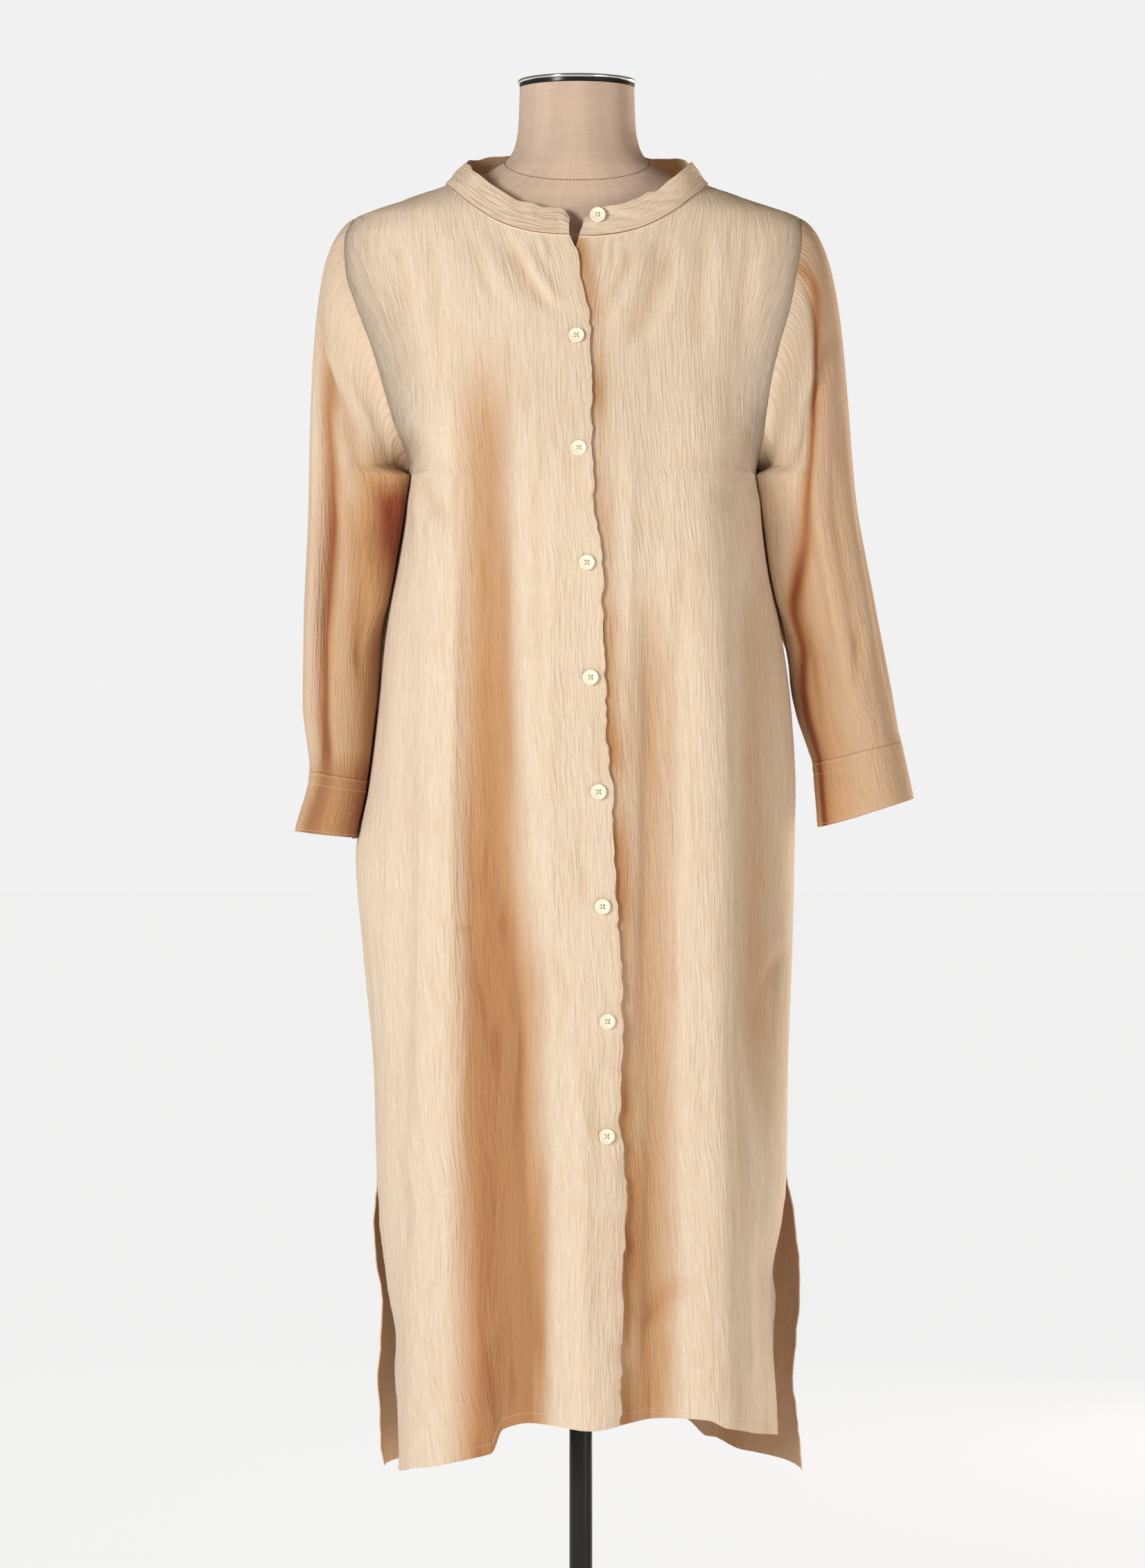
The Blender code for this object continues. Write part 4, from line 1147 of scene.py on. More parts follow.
@dataclass(frozen=True)
class HardFinish:
    """A smooth hard surface with faint clouding and fine scuffs."""

    name: str
    light: Colour
    dark: Colour
    roughness: float
    scuff: float
    metallic: float = 0.0
    specular: float = 0.5
    cloud: float = 60.0

    def build(self) -> Material:
        """Makes the material.

        Returns:
            The material.
        """
        material, graph, shader = plain_material(self.name)
        place = graph.add("TexCoord").outputs["Object"]
        cloud = graph.add("TexNoise", {"Vector": place, "Scale": self.cloud, "Detail": 3.0})
        colour = graph.mix(cloud.outputs[0], self.light, self.dark)
        fine = graph.add("TexNoise", {"Vector": place, "Scale": 900.0, "Detail": 2.0})
        rough = graph.sum("MULTIPLY_ADD", fine.outputs[0], self.scuff, self.roughness)
        bump = graph.add("Bump", {"Height": fine.outputs[0], "Distance": 0.00002})
        graph.fill(shader, {"Base Color": colour, "Roughness": rough, "Normal": bump.outputs[0]})
        graph.fill(shader, {"Metallic": self.metallic, "Specular IOR Level": self.specular})
        return material


GAUZE = GauzeFinish()
THREAD = ThreadFinish()
LINEN = LinenFinish()
BUTTON_SHELL = HardFinish("cream button", (0.86, 0.79, 0.62, 1.0), (0.78, 0.70, 0.52, 1.0), 0.28, 0.12)
CHROME = HardFinish("chrome rim", (0.80, 0.79, 0.77, 1.0), (0.66, 0.65, 0.64, 1.0), 0.08, 0.08, 1.0)
BLACK = HardFinish(
    "black lacquer", (0.012, 0.012, 0.012, 1.0), (0.020, 0.019, 0.018, 1.0), 0.16, 0.10, specular=0.16
)
SEAM_DARK = HardFinish("seam thread", (0.10, 0.055, 0.035, 1.0), (0.06, 0.03, 0.02, 1.0), 0.8, 0.1)


def dress(obj: Object, finish: object) -> Object:
    """Gives a piece its finish and its place on the object.

    Args:
        obj: the piece.
        finish: one of the finishes.

    Returns:
        The same piece.
    """
    material = bpy.data.materials.get(finish.name) or finish.build()
    obj.data.materials.clear()
    obj.data.materials.append(material)
    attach(obj, "root")
    LOG.info("%s: %d faces", obj.name, len(obj.data.polygons))
    return obj


def mesh_object(name: str, points: Array, faces: list) -> Object:
    """A smooth-shaded object from points and faces."""
    mesh = bpy.data.meshes.new(name)
    mesh.from_pydata(np.asarray(points).tolist(), [], faces)
    mesh.shade_smooth()
    mesh.set_sharp_from_angle(angle=math.radians(40))
    return linked(name, mesh)


def joined_tubes(name: str, tubes: Sequence[Array]) -> Object:
    """One object from capped tubes.

    Args:
        name: the object's name.
        tubes: the rings of each, path by ring.

    Returns:
        The object.
    """
    faces = []
    count = 0
    for tube in tubes:
        rings, sides = tube.shape[:2]
        faces += ring_faces(rings, sides, count)
        count += rings * sides
    return mesh_object(name, np.concatenate([tube.reshape(-1, 3) for tube in tubes]), faces)


def tube_rings(points: Array, normals: Array, radii: Array, sides: int) -> Array:
    """Rings of points round a path.

    Args:
        points: the path.
        normals: which way each ring's first point lies.
        radii: the ring's radius along the normal and across it, at each point.
        sides: points in a ring.

    Returns:
        Points, path by ring.
    """
    along = unit(np.gradient(points, axis=0))
    up = unit(normals - along * np.sum(normals * along, axis=1, keepdims=True))
    across = np.cross(along, up)
    turn = 2 * np.pi * np.arange(sides) / sides
    lift = radii[:, None, :1] * np.cos(turn)[None, :, None] * up[:, None]
    spread = radii[:, None, 1:] * np.sin(turn)[None, :, None] * across[:, None]
    return points[:, None] + lift + spread


def ring_faces(rings: int, sides: int, start: int = 0) -> list:
    """Faces of a capped tube of rings, from a first point number on."""
    faces = [tuple(start + k for k in range(sides))]
    for j in range(rings - 1):
        for k in range(sides):
            n = (k + 1) % sides
            low = start + j * sides
            faces.append((low + k, low + sides + k, low + sides + n, low + n))
    last = start + (rings - 1) * sides
    faces.append(tuple(last + k for k in range(sides))[::-1])
    return faces


@dataclass(frozen=True)
class StitchRow:
    """A row of lockstitches, each a short flattened loop of thread half sunk in the cloth."""

    pitch: float = 0.0025
    length: float = 0.0019
    radius: float = 0.00026
    sides: int = 5

    def loops(self, points: Array, normals: Array) -> list[Array]:
        """Stitches along a line.

        Args:
            points: the line.
            normals: which way the cloth faces along it.

        Returns:
            The rings of each stitch.
        """
        lengths = np.concatenate([[0.0], np.cumsum(np.linalg.norm(np.diff(points, axis=0), axis=1))])
        total = []
        for place in np.arange(0.5 * self.pitch, lengths[-1], self.pitch):
            at = place + self.length * np.array([-0.5, 0.0, 0.5])
            path = np.stack([np.interp(at, lengths, points[:, c]) for c in range(3)], axis=1)
            way = np.stack([np.interp(at, lengths, normals[:, c]) for c in range(3)], axis=1)
            path = path + way * (self.radius * np.array([-0.5, 0.6, -0.5]))[:, None]
            thick = self.radius * np.array([[0.3, 0.5], [0.9, 1.1], [0.3, 0.5]])
            total.append(tube_rings(path, way, thick, self.sides))
        return total

    def build(self, name: str, lines: Sequence[tuple[Array, Array]]) -> Object:
        """Sews rows of stitches as one piece.

        Args:
            name: the piece's name.
            lines: points and normals of each line, from the figure's middle.

        Returns:
            The dressed piece.
        """
        tubes = [tube + MIDDLE for points, normals in lines for tube in self.loops(points, normals)]
        return dress(joined_tubes(name, tubes), THREAD)


def hang(shell: Shell, node: str) -> None:
    """Args:
        shell: the cloth.
        node: the CAD node that it stands for.
    """
    obj = dress(shell.build(), GAUZE)
    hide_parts(node)
    shell.area()


def fine_painted_shade(seed: int, u: Array, v: Array) -> Array:
    """Shade painted into the valleys between the puckers.

    Args:
        seed: the crinkle's pattern.
        u: places across the cloth.
        v: places along it.

    Returns:
        Shares from 0 to about an eighth.
    """
    crinkle = Crinkle(seed, sizes=2)
    return 0.11 * np.clip(-crinkle.height(u, v) / crinkle.depth - 0.25, 0.0, 1.2)


@dataclass
class BodyPanel:
    """A panel of the dress's body, or half of the back."""

    face: Face
    side: Side
    seed: int
    neck_columns: int = 70
    shoulder_columns: int = 38
    armhole_columns: int = 74
    neck_crowding: float = 1.4
    upper_rows: int = 84
    lower_rows: int = 130
    top_crowding: float = 1.45
    seam_fade: float = 0.012
    hem_reach: float = 0.110
    slit_reach: float = 0.030
    slit_sway: float = 0.0028
    pucker_size: float = 0.0045
    pucker_depth: float = 0.00045
    pucker_reach: float = 0.014
    # Shares of painted shade in the folds, in the creases and beside the armhole
    fold_shade: float = 1.08
    fold_shade_power: float = 0.92
    fold_shade_most: float = 0.73
    crease_shade: float = 0.28
    armhole_shade: float = 0.20

    def shares(self) -> Array:
        """Where the columns start along the top, with one on each corner of it."""
        steps = np.linspace(1.0, 0.0, self.neck_columns + 1)
        neck = SHAPE.neck_share * (1 - steps**self.neck_crowding)
        shoulder = np.linspace(SHAPE.neck_share, SHAPE.shoulder_share, self.shoulder_columns + 1)
        armhole = np.linspace(SHAPE.shoulder_share, 1.0, self.armhole_columns + 1)
        return np.concatenate([neck, shoulder[1:], armhole[1:]])

    def smooth_grid(self) -> tuple[Array, Array]:
        """The panel before its creases.

        Returns:
            Points, columns by rows from the top to the hem, and how far across each is.
        """
        grid = []
        places = []
        level = SHAPE.level
        for share in self.shares():
            top = SHAPE.top_height(self.face, self.side, share)
            edge = SHAPE.edge(self.face, self.side, level)
            across = SHAPE.across_at(self.face, self.side, share, level, edge)
            hem = SHAPE.hem_height(self.face, self.side, float(across))
            rise = np.linspace(0.0, 1.0, self.upper_rows + 1)[:-1] ** self.top_crowding
            upper = between(top, level, rise)
            lower = np.linspace(level, hem, self.lower_rows + 1)
            heights = np.concatenate([upper, lower])
            edges = SHAPE.edge(self.face, self.side, heights)
            across = SHAPE.across_at(self.face, self.side, share, heights, edges)
            grid.append(SHAPE.points(self.face, self.side, across, heights))
            places.append(across)
        grid = np.array(grid)
        across = np.array(places)
        v = run_lengths(grid, 1)
        near_hem = fade(1 - (v[:, -1:] - v) / self.hem_reach)
        places, lifts = zip(*HEM_LIFTS[self.face])
        grid[..., 2] += Curve(places, lifts)(across) * near_hem
        u = run_lengths(grid, 0)
        near_side = fade(1 - (u[-1] - u) / self.slit_reach)
        open_below = fade((SHAPE.slit_top - grid[..., 2]) / 0.05)
        sway = Noise(self.seed + 200).at(grid[..., 2] / 0.034, 0 * u)
        grid[..., 0] += self.slit_sway * sway * near_side * open_below
        return grid, across

    def relief(self, grid: Array, across: Array) -> Array:
        """How far creases, crinkle and puckered seams lift each point.

        Args:
            grid: the smooth points.
            across: how far across each is.

        Returns:
            The lift along the normals.
        """
        height = grid[..., 2]
        u = run_lengths(grid, 0)
        v = run_lengths(grid, 1)
        to_side = u[-1] - u
        to_hem = v[:, -1:] - v
        sewn = fade((height - SHAPE.slit_top) / 0.03)
        held = fade(v / self.seam_fade) * (1 - sewn * (1 - fade(to_side / self.seam_fade)))
        lift = crease_relief(CREASES[self.face], across, height)
        lift = lift + Crinkle(self.seed).height(u, height)
        noise = Noise(self.seed + 100)
        hem_pucker = noise.at(u / self.pucker_size, to_hem / 0.012)
        lift = lift + self.pucker_depth * hem_pucker * swell(to_hem, self.pucker_reach)
        side_pucker = noise.at(height / self.pucker_size, to_side / 0.012 + 5)
        lift = lift + self.pucker_depth * side_pucker * swell(to_side, self.pucker_reach)
        line = swell(to_hem - HEM_DEPTH, GROOVE_WIDTH)
        slit_line = swell(to_side - HEM_DEPTH, GROOVE_WIDTH) * (1 - sewn)
        lift = lift - GROOVE_DEPTH * np.maximum(line, slit_line)
        return lift * held * (1 - near_underarm(grid))

    def painted_shades(self, grid: Array, across: Array) -> Array:
        """How much shade is painted into each point's colour, from 0 to 1: in folds, in creases and beside
        the armhole.
        """
        height = grid[..., 2]
        deep_shade = SHAPE.fold_depth(self.face, across, height) / FULL_FOLD
        deep_shade = self.fold_shade * np.clip(deep_shade, 0.0, 1.0) ** self.fold_shade_power
        deep_shade = np.minimum(deep_shade, self.fold_shade_most)
        fine = crease_relief(CREASES[self.face], across, height) / FULL_CREASE
        u = run_lengths(grid, 0)
        by_armhole = swell(u[-1] - u, 0.020) * fade((height - 1.19) / 0.03)
        return deep_shade + self.crease_shade * np.clip(fine, 0.0, 1.0) + self.armhole_shade * by_armhole


def below_slit(line: tuple[Array, Array]) -> tuple[Array, Array]:
    """The part of a line, points and normals, that runs beside the side slit."""
    keep = line[0][:, 2] < SHAPE.slit_top
    return line[0][keep], line[1][keep]


def near_underarm(grid: Array) -> Array:
    """1 where the columns crowd under the arm, fading to 0 round it."""
    away = np.hypot((np.abs(grid[..., 0]) - 0.150) / 1.6, grid[..., 2] - SHAPE.underarm)
    return 1 - fade((away - 0.008) / 0.020)


def flat_seams(normals: Array, shares: Array, grid: Array) -> Array:
    """Normals with the wall's rim square to the shoulder and side seams.

    Args:
        normals: the cloth's normals.
        shares: where its columns start.
        grid: its points.

    Returns:
        The normals, all of them one long.
    """
    even = unit(grid * np.array([1 / 0.155**2, 1 / 0.120**2, 0.0]))
    near = near_underarm(grid)[..., None]
    normals = normals * (1 - near) + even * near
    for i, share in enumerate(shares):
        if SHAPE.neck_share <= abs(share) <= SHAPE.shoulder_share + 0.001:
            normals[i, 0, 1] = 0.0
        if abs(share) > 0.999:
            outward = np.sign(grid[i, :, 0])
            normals[i, :, 1] = 0.0
            normals[i, :, 0] = outward * np.maximum(outward * normals[i, :, 0], 0.3)
    return unit(normals)


@dataclass
class Fronts:
    """The two fronts, the wearer's right lapping over the left."""

    wall: float = 0.0011
    lift: float = 0.0030
    flat: float = 0.028
    lift_fade: float = 0.045
    placket: float = PLACKET_WIDTH
    under_share: float = 0.35
    edge_wave: float = 0.0015
    # Reach and strength of the painted shadow on the under front beside the upper front's edge
    painted_shadow_reach: float = 0.011
    painted_shadow_tint: float = 0.58
    cut: Pair = (0.36, 1.21)

    def right(self) -> Shell:
        """The upper front, raised along its edge to clear the other."""
        panel = BodyPanel(Face.FRONT, Side.RIGHT, 11)
        grid, across = panel.smooth_grid()
        normals = flat_seams(normals_of(grid), panel.shares(), grid)
        distance = SHAPE.closing["edge"](grid[..., 2]) - grid[..., 0]
        lift = self.lift * (1 - fade((distance - self.flat) / self.lift_fade))
        relief = panel.relief(grid, across) * self.calm(grid)
        band = 1 - fade((distance - self.placket) / 0.006)
        ripples = Crinkle(21, spacing=0.0060, length=0.060, depth=0.00030).height(distance, grid[..., 2])
        relief = relief + band * ripples * self.calm(grid) * fade(run_lengths(grid, 1) / 0.012)
        groove = swell(distance - self.placket, GROOVE_WIDTH)
        relief = relief - 0.0005 * groove + 0.0005 * band
        outer = grid + normals * (lift + relief)[..., None]
        wave = Noise(22).at(grid[..., 2] / 0.021, 0 * distance)
        wave = wave + Noise(23).at(grid[..., 2] / 0.006, 0 * distance)
        wave = self.edge_wave * wave * (1 - fade(distance / 0.016))
        outer[..., 0] += wave * fade(run_lengths(grid, 1) / 0.02)
        return self.shell("dress_front_right", panel, grid, across, outer, 1.0)

    def left(self) -> Shell:
        """The under front."""
        panel = BodyPanel(Face.FRONT, Side.LEFT, 12)
        grid, across = panel.smooth_grid()
        normals = flat_seams(-normals_of(grid), panel.shares(), grid)
        covered = SHAPE.closing["edge"](grid[..., 2]) - grid[..., 0]
        under = fade((covered + 0.010) / 0.012) * fade((SHAPE.neckline_front - 0.03 - grid[..., 2]) / 0.03)
        relief = panel.relief(grid, across)
        common = crease_relief(CREASES[Face.FRONT], across, grid[..., 2])
        relief = relief - (relief - common) * under * (1 - self.under_share)
        outer = grid + normals * relief[..., None]
        shell = self.shell("dress_front_left", panel, grid, across, outer, -1.0)
        # Painted shadow on the under front beside the edge of the front lapped over it, uneven along the
        # edge
        beside = swell(covered + 0.003, self.painted_shadow_reach)
        uneven = 0.75 + 0.45 * Noise(24).at(grid[..., 2] / 0.045, 0 * covered)
        shell.painted_shade = shell.painted_shade + self.painted_shadow_tint * beside * uneven
        return shell

    def calm(self, grid: Array) -> Array:
        """1, and 0 on the flat places under the buttons."""
        quiet = np.ones(grid.shape[:2])
        for centre, _ in (button_seat(f"button_{n + 1}") for n in range(8)):
            away = np.hypot(grid[..., 0] + SHAPE.centre_x - centre[0], grid[..., 2] - centre[2])
            quiet = quiet * fade((away - 0.008) / 0.008)
        return quiet

    def shell(
        self, name: str, panel: BodyPanel, grid: Array, across: Array, outer: Array, sign: float
    ) -> Shell:
        """The panel's thin wall.

        Args:
            name: the piece's name.
            panel: the panel it comes from.
            grid: its smooth points.
            across: how far across they are.
            outer: its creased points.
            sign: which way round the grid faces out.

        Returns:
            The shell.
        """
        normals = flat_seams(sign * normals_of(outer), panel.shares(), outer)
        place = np.stack([run_lengths(grid, 0), -grid[..., 2]], axis=-1)
        painted_shade = panel.painted_shades(grid, across) + fine_painted_shade(panel.seed, run_lengths(grid, 0), grid[..., 2])
        return Shell(name, outer, normals, self.wall, place, painted_shade)

    def build(self) -> dict[str, Shell]:
        """Builds and dresses both fronts, with their stitches.

        Returns:
            Their shells by side.
        """
        shells = {"right": self.right(), "left": self.left()}
        for side, shell in shells.items():
            hang(shell, f"front_{side}")
            lines = [
                shell.line(1, End.LAST, HEM_DEPTH),
                below_slit(shell.line(0, End.LAST, HEM_DEPTH)),
                shell.line(0, End.FIRST, self.placket - 0.001),
                shell.line(0, End.FIRST, EDGE_STITCH),
            ]
            StitchRow().build(f"stitches_front_{side}", lines)
        return shells


@dataclass
class Back:
    """The back, in one piece."""

    wall: float = 0.0011
    cut: Pair = (0.66, 1.24)

    def build(self) -> Shell:
        """Returns:
            Its shell.
        """
        halves = []
        for side in (Side.RIGHT, Side.LEFT):
            panel = BodyPanel(Face.BACK, side, 13 + side.value, BACK_NECK_COLUMNS, 24, 44, 1.4, 66, 112)
            grid, across = panel.smooth_grid()
            halves.append((grid, across, panel.relief(grid, across), panel.painted_shades(grid, across)))
            shares = panel.shares()
        right, left = halves
        joined = [np.concatenate([r[::-1], l[1:]]) for r, l in zip(right, left)]
        grid, across, relief, painted_shade = joined
        blend = fade(np.abs(across) / 0.03)
        smooth = crease_relief(CREASES[Face.BACK], across, grid[..., 2])
        relief = smooth * fade(run_lengths(grid, 1) / 0.012) * (1 - blend) + relief * blend
        shares = np.concatenate([-shares[::-1], shares[1:]])
        normals = flat_seams(normals_of(grid), shares, grid)
        outer = grid + normals * relief[..., None]
        normals = flat_seams(normals_of(outer), shares, outer)
        place = np.stack([run_lengths(grid, 0), -grid[..., 2]], axis=-1)
        shell = Shell("dress_back", outer, normals, self.wall, place, painted_shade)
        hang(shell, "back")
        slits = [below_slit(shell.line(0, end, HEM_DEPTH)) for end in End]
        StitchRow().build("stitches_back", [shell.line(1, End.LAST, HEM_DEPTH), *slits])
        return shell


@dataclass
class CollarBand:
    """The stand collar, sewn along the neckline and open at the throat."""

    height: float = 0.026
    seam_gap: float = 0.0005
    wall: float = 0.0018
    rows: int = 14
    side_lean: float = 46.0
    back_lean: float = 5.0
    front_lean: Pair = (30.0, 12.0)
    end_slant: Pair = (0.05, 0.32)
    end_reach: float = 0.030
    front_turn: float = 0.075
    back_turn: float = 0.062
    welt_radius: float = 0.0010
    rumple_depth: float = 0.00090
    wave_depth: float = 0.0020
    top_wave: float = 0.0017
    corner: Pair = (0.34, 0.011)
    cut: Pair = (0.62, 0.030)

    def direction(self, point: Array, ends: Pair) -> Array:
        """The way the band rises from a point of the neckline.

        Args:
            point: the point.
            ends: x of the band's two ends.

        Returns:
            The direction, with one band height of rise.
        """
        number = 0 if point[0] < 0 else 1
        to_front = fade(-point[1] / self.front_turn)
        to_back = fade(point[1] / self.back_turn)
        lean = self.side_lean
        lean += (self.front_lean[number] - self.side_lean) * to_front
        lean += (self.back_lean - self.side_lean) * to_back
        inward = -point * np.array([1.0, 1.0, 0.0])
        inward = inward / np.linalg.norm(inward)
        lean = math.radians(lean)
        way = inward * math.sin(lean) + np.array([0.0, 0.0, math.cos(lean)])
        if point[1] < 0:
            from_end = abs(point[0] - ends[number])
            slant = (2 * number - 1) * self.end_slant[number]
            way[0] += slant * (1 - fade(from_end / self.end_reach))
        return way

    def build(self, fronts: dict[str, Shell], back: Shell) -> Shell:
        """Args:
            fronts: the shells of the two fronts.
            back: the shell of the back.

        Returns:
            The band's shell.
        """
        front_reach = BodyPanel(Face.FRONT, Side.RIGHT, 0).neck_columns
        middle = len(back.outer) // 2
        reach = BACK_NECK_COLUMNS
        behind = back.outer[middle - reach + 1 : middle + reach, 0]
        right, left = (fronts[side].outer[: front_reach + 1, 0] for side in ("right", "left"))
        line = np.concatenate([right, behind, left[::-1]])
        ends = (line[0, 0], line[-1, 0])
        rises = self.seam_gap + self.height * np.linspace(0.0, 1.0, self.rows + 1)
        ways = np.array([self.direction(point, ends) for point in line])
        along = run_lengths(line[:, None], 0)[:, 0]
        from_end = np.minimum(along, along[-1] - along)
        height = 1 - self.corner[0] * np.clip(1 - from_end / self.corner[1], 0.0, 1.0) ** 2
        grid = line[:, None] + ways[:, None] * (height[:, None] * rises)[..., None]
        u = run_lengths(grid, 0)
        v = np.broadcast_to(rises, u.shape)
        normals = normals_of(grid)
        rumple = Crinkle(31, spacing=0.007, length=0.016, depth=self.rumple_depth).height(u, v)
        wave = self.wave_depth * Noise(32).at(u / 0.017, v / 0.03) * fade(v / self.height)
        outer = grid + normals * ((rumple + wave) * fade(v / 0.006))[..., None]
        top = self.top_wave * Noise(33).at(u / 0.013, 0 * v) * fade(v / self.height)
        outer = outer + ways[:, None] * top[..., None]
        place = np.stack([v, u], axis=-1)
        normals = normals_of(outer)
        if outer[0, 5, 1] * normals[0, 5, 1] <= 0:
            outer = outer - normals * self.wall
            normals = -normals
        # Light painted shade on the band, more on its inner face
        shell = Shell("dress_collar", outer, normals, self.wall, place, 0 * u + 0.06, inside=0.35)
        hang(shell, "collar_band")
        lines = [shell.line(1, End.FIRST, EDGE_STITCH), shell.line(1, End.LAST, EDGE_STITCH)]
        StitchRow().build("stitches_collar", lines)
        self.build_welt(line, fronts, back)
        return shell

    def build_welt(self, line: Array, fronts: dict[str, Shell], back: Shell) -> None:
        """The raised seam that runs round below the band."""
        down = unit(np.gradient(line, axis=0))
        out = unit(line * np.array([1.0, 1.0, 0.0]))
        normals = unit(out - down * np.sum(out * down, axis=1, keepdims=True))
        beside = np.cross(down, normals)
        beside = beside * np.sign(-beside[:, 2:3] + 1e-9)
        path = line + beside * self.welt_radius
        radii = np.full((len(path), 2), self.welt_radius)
        rings = tube_rings(path, normals, radii * [0.8, 1.0], 8)
        dress(joined_tubes("neck_welt", [rings + MIDDLE]), THREAD)


@dataclass
class Sleeve:
    """A three-quarter sleeve with its cuff."""

    side: Side
    around: int = 144
    head_rows: int = 96
    lower_rows: int = 96
    cuff_rows: int = 26
    wall: float = 0.0011
    cuff_wall: float = 0.0020
    fold_spread: float = 24.0
    clear: float = 0.0030
    tuck: float = 0.0012
    head_out: Pair = (0.050, 0.140)
    head_down: Pair = (0.024, 0.060)
    fall: Pair = (0.084, 0.240)
    seam_shift: Pair = (0.0001, 0.0002)
    fall_step: float = 0.020
    radius: float = 0.052
    girth: float = 0.330
    end_row: int = 3
    # Heights and places round the sleeve of a painted shadow line beside its front fold edge
    shadow_line_heights: tuple[float, ...] = (0.93, 0.99, 1.05, 1.144, 1.27, 1.358)
    shadow_line_angles: tuple[float, ...] = (152.0, 145.0, 127.0, 98.0, 84.0, 64.0)
    cut: Pair = (0.40, 0.56)
    cuff_cut: Pair = (0.30, 0.060)
    stitch_rows: tuple[tuple[End, float], ...] = (
        (End.FIRST, 0.0020), (End.FIRST, 0.0110), (End.LAST, 0.0020),
    )
    # Shares of painted shade: over the hanging sleeve, towards its lower part and cuff, in its fold's
    # valley, along the shadow line, over its outer face, on its inner side, in a pocket below the arm, and
    # in its creases
    upper_shade: float = 0.12
    low_shade: float = 0.26
    cuff_shade: float = 0.24
    valley_shade: float = 0.56
    shadow_line_shade: float = 0.56
    plane_shades: Pair = (0.10, 0.24)
    inner_shades: Pair = (0.45, 0.35)
    pocket_shade: float = 0.50
    crease_shades: Pair = (0.20, 0.15)

    def fold_angle(self) -> float:
        """Where round the sleeve its lengthwise fold lies, in degrees."""
        return 42.0 if self.side is Side.RIGHT else 108.0

    def round_armhole(self, reach: Pair, angle: Array) -> Array:
        """A value that goes from under the arm to the shoulder's tip and back."""
        over = 0.5 * (1 + np.cos(np.radians(angle)))
        return between(*reach, over)

    def armhole_points(self, angle: Array) -> Array:
        """Outer points of the armhole seam; 0 degrees is the shoulder tip, 90 the front."""
        points = []
        for turn in angle:
            face = Face.FRONT if turn <= 180.0 else Face.BACK
            along = turn / 180.0 if turn <= 180.0 else (360.0 - turn) / 180.0
            height = np.array([SHAPE.armhole_height(along)])
            across = self.side.value * SHAPE.seam_width(face, self.side, height)
            points.append(SHAPE.points(face, self.side, across, height)[0])
        return np.array(points)

    def clear_of_body(self, points: Array) -> Array:
        """Points moved out to where they lie beside the cloth of the body."""
        height = np.minimum(points[..., 2], SHAPE.underarm)
        is_front = points[..., 1] < 0
        half = np.where(is_front, *(SHAPE.half_width(face, self.side, height) for face in Face))
        depth = np.where(is_front, *(SHAPE.depth(face, height) for face in Face))
        share = np.minimum(np.abs(points[..., 1]) / depth, 1.0)
        power = SHAPE.section_power
        beside = half * (1 - share**power) ** (1 / power) + self.clear
        moved = points.copy()
        inside = (share < 1.0) & (self.side.value * points[..., 0] < beside)
        moved[..., 0] = np.where(inside, self.side.value * beside, points[..., 0])
        return moved

    def hanging_points(self, angle: Array, height: Array) -> Array:
        """Outer points of the sleeve where it hangs.

        Args:
            angle: places round it, in degrees.
            height: heights of the rings' middles.

        Returns:
            The points.
        """
        table = curves_of(SLEEVES[self.side])
        names = ("outer", "inner", "front", "back", "tilt", "fold")
        outer, inner, front, back, tilt, fold = (table[name](height) for name in names)
        turn = np.radians(angle)
        away = wrapped(angle - self.fold_angle())
        dent = fold * swell(away, self.fold_spread)
        reach = 1.0 - 2.0 * dent / (outer - inner)
        across = 0.5 * (outer + inner) + 0.5 * (outer - inner) * np.cos(turn) * reach
        y = 0.5 * (front + back) - 0.5 * (back - front) * np.sin(turn) * reach
        lift = tilt * (np.cos(turn) * 0.5)
        points = np.stack([self.side.value * across, y, height + lift], axis=-1)
        return self.clear_of_body(points)

    def smooth_grid(self) -> tuple[Array, Array]:
        """The sleeve before its creases, from the armhole to the cuff seam.

        Returns:
            Points, columns round by rows down, and the columns' angles.
        """
        rows = SLEEVES[self.side]
        head = rows[0].height
        end = rows[self.end_row].height
        angle = 360.0 * np.arange(self.around) / self.around
        side = self.side.value
        out = side * self.round_armhole(self.head_out, angle)
        down = -self.round_armhole(self.head_down, angle)
        leave = np.stack([out, np.zeros(self.around), down], axis=-1)
        start = self.armhole_points(angle) + unit(leave) * 0.0001
        start[:, 0] += side * self.round_armhole(self.seam_shift, angle)
        stop = self.hanging_points(angle, np.full(self.around, head))
        below = self.hanging_points(angle, np.full(self.around, head - self.fall_step))
        fall = unit(below - stop) * self.round_armhole(self.fall, angle)[:, None]
        t = np.linspace(0.0, 1.0, self.head_rows + 1)[None, :, None]
        upper = (1 + 2 * t) * (1 - t) ** 2 * start[:, None] + t * (1 - t) ** 2 * leave[:, None]
        upper = upper + t**2 * (3 - 2 * t) * stop[:, None] + t**2 * (t - 1) * fall[:, None]
        cleared = self.clear_of_body(upper)
        share = fade(np.linspace(0.0, 1.0, self.head_rows + 1) / 0.12)[None, :, None]
        upper = upper * (1 - share) + cleared * share
        heights = np.linspace(head, end, self.lower_rows + 1)[1:]
        lower = self.hanging_points(angle[:, None], np.broadcast_to(heights, (self.around, len(heights))))
        return self.tucked(np.concatenate([upper, lower], axis=1), angle), angle

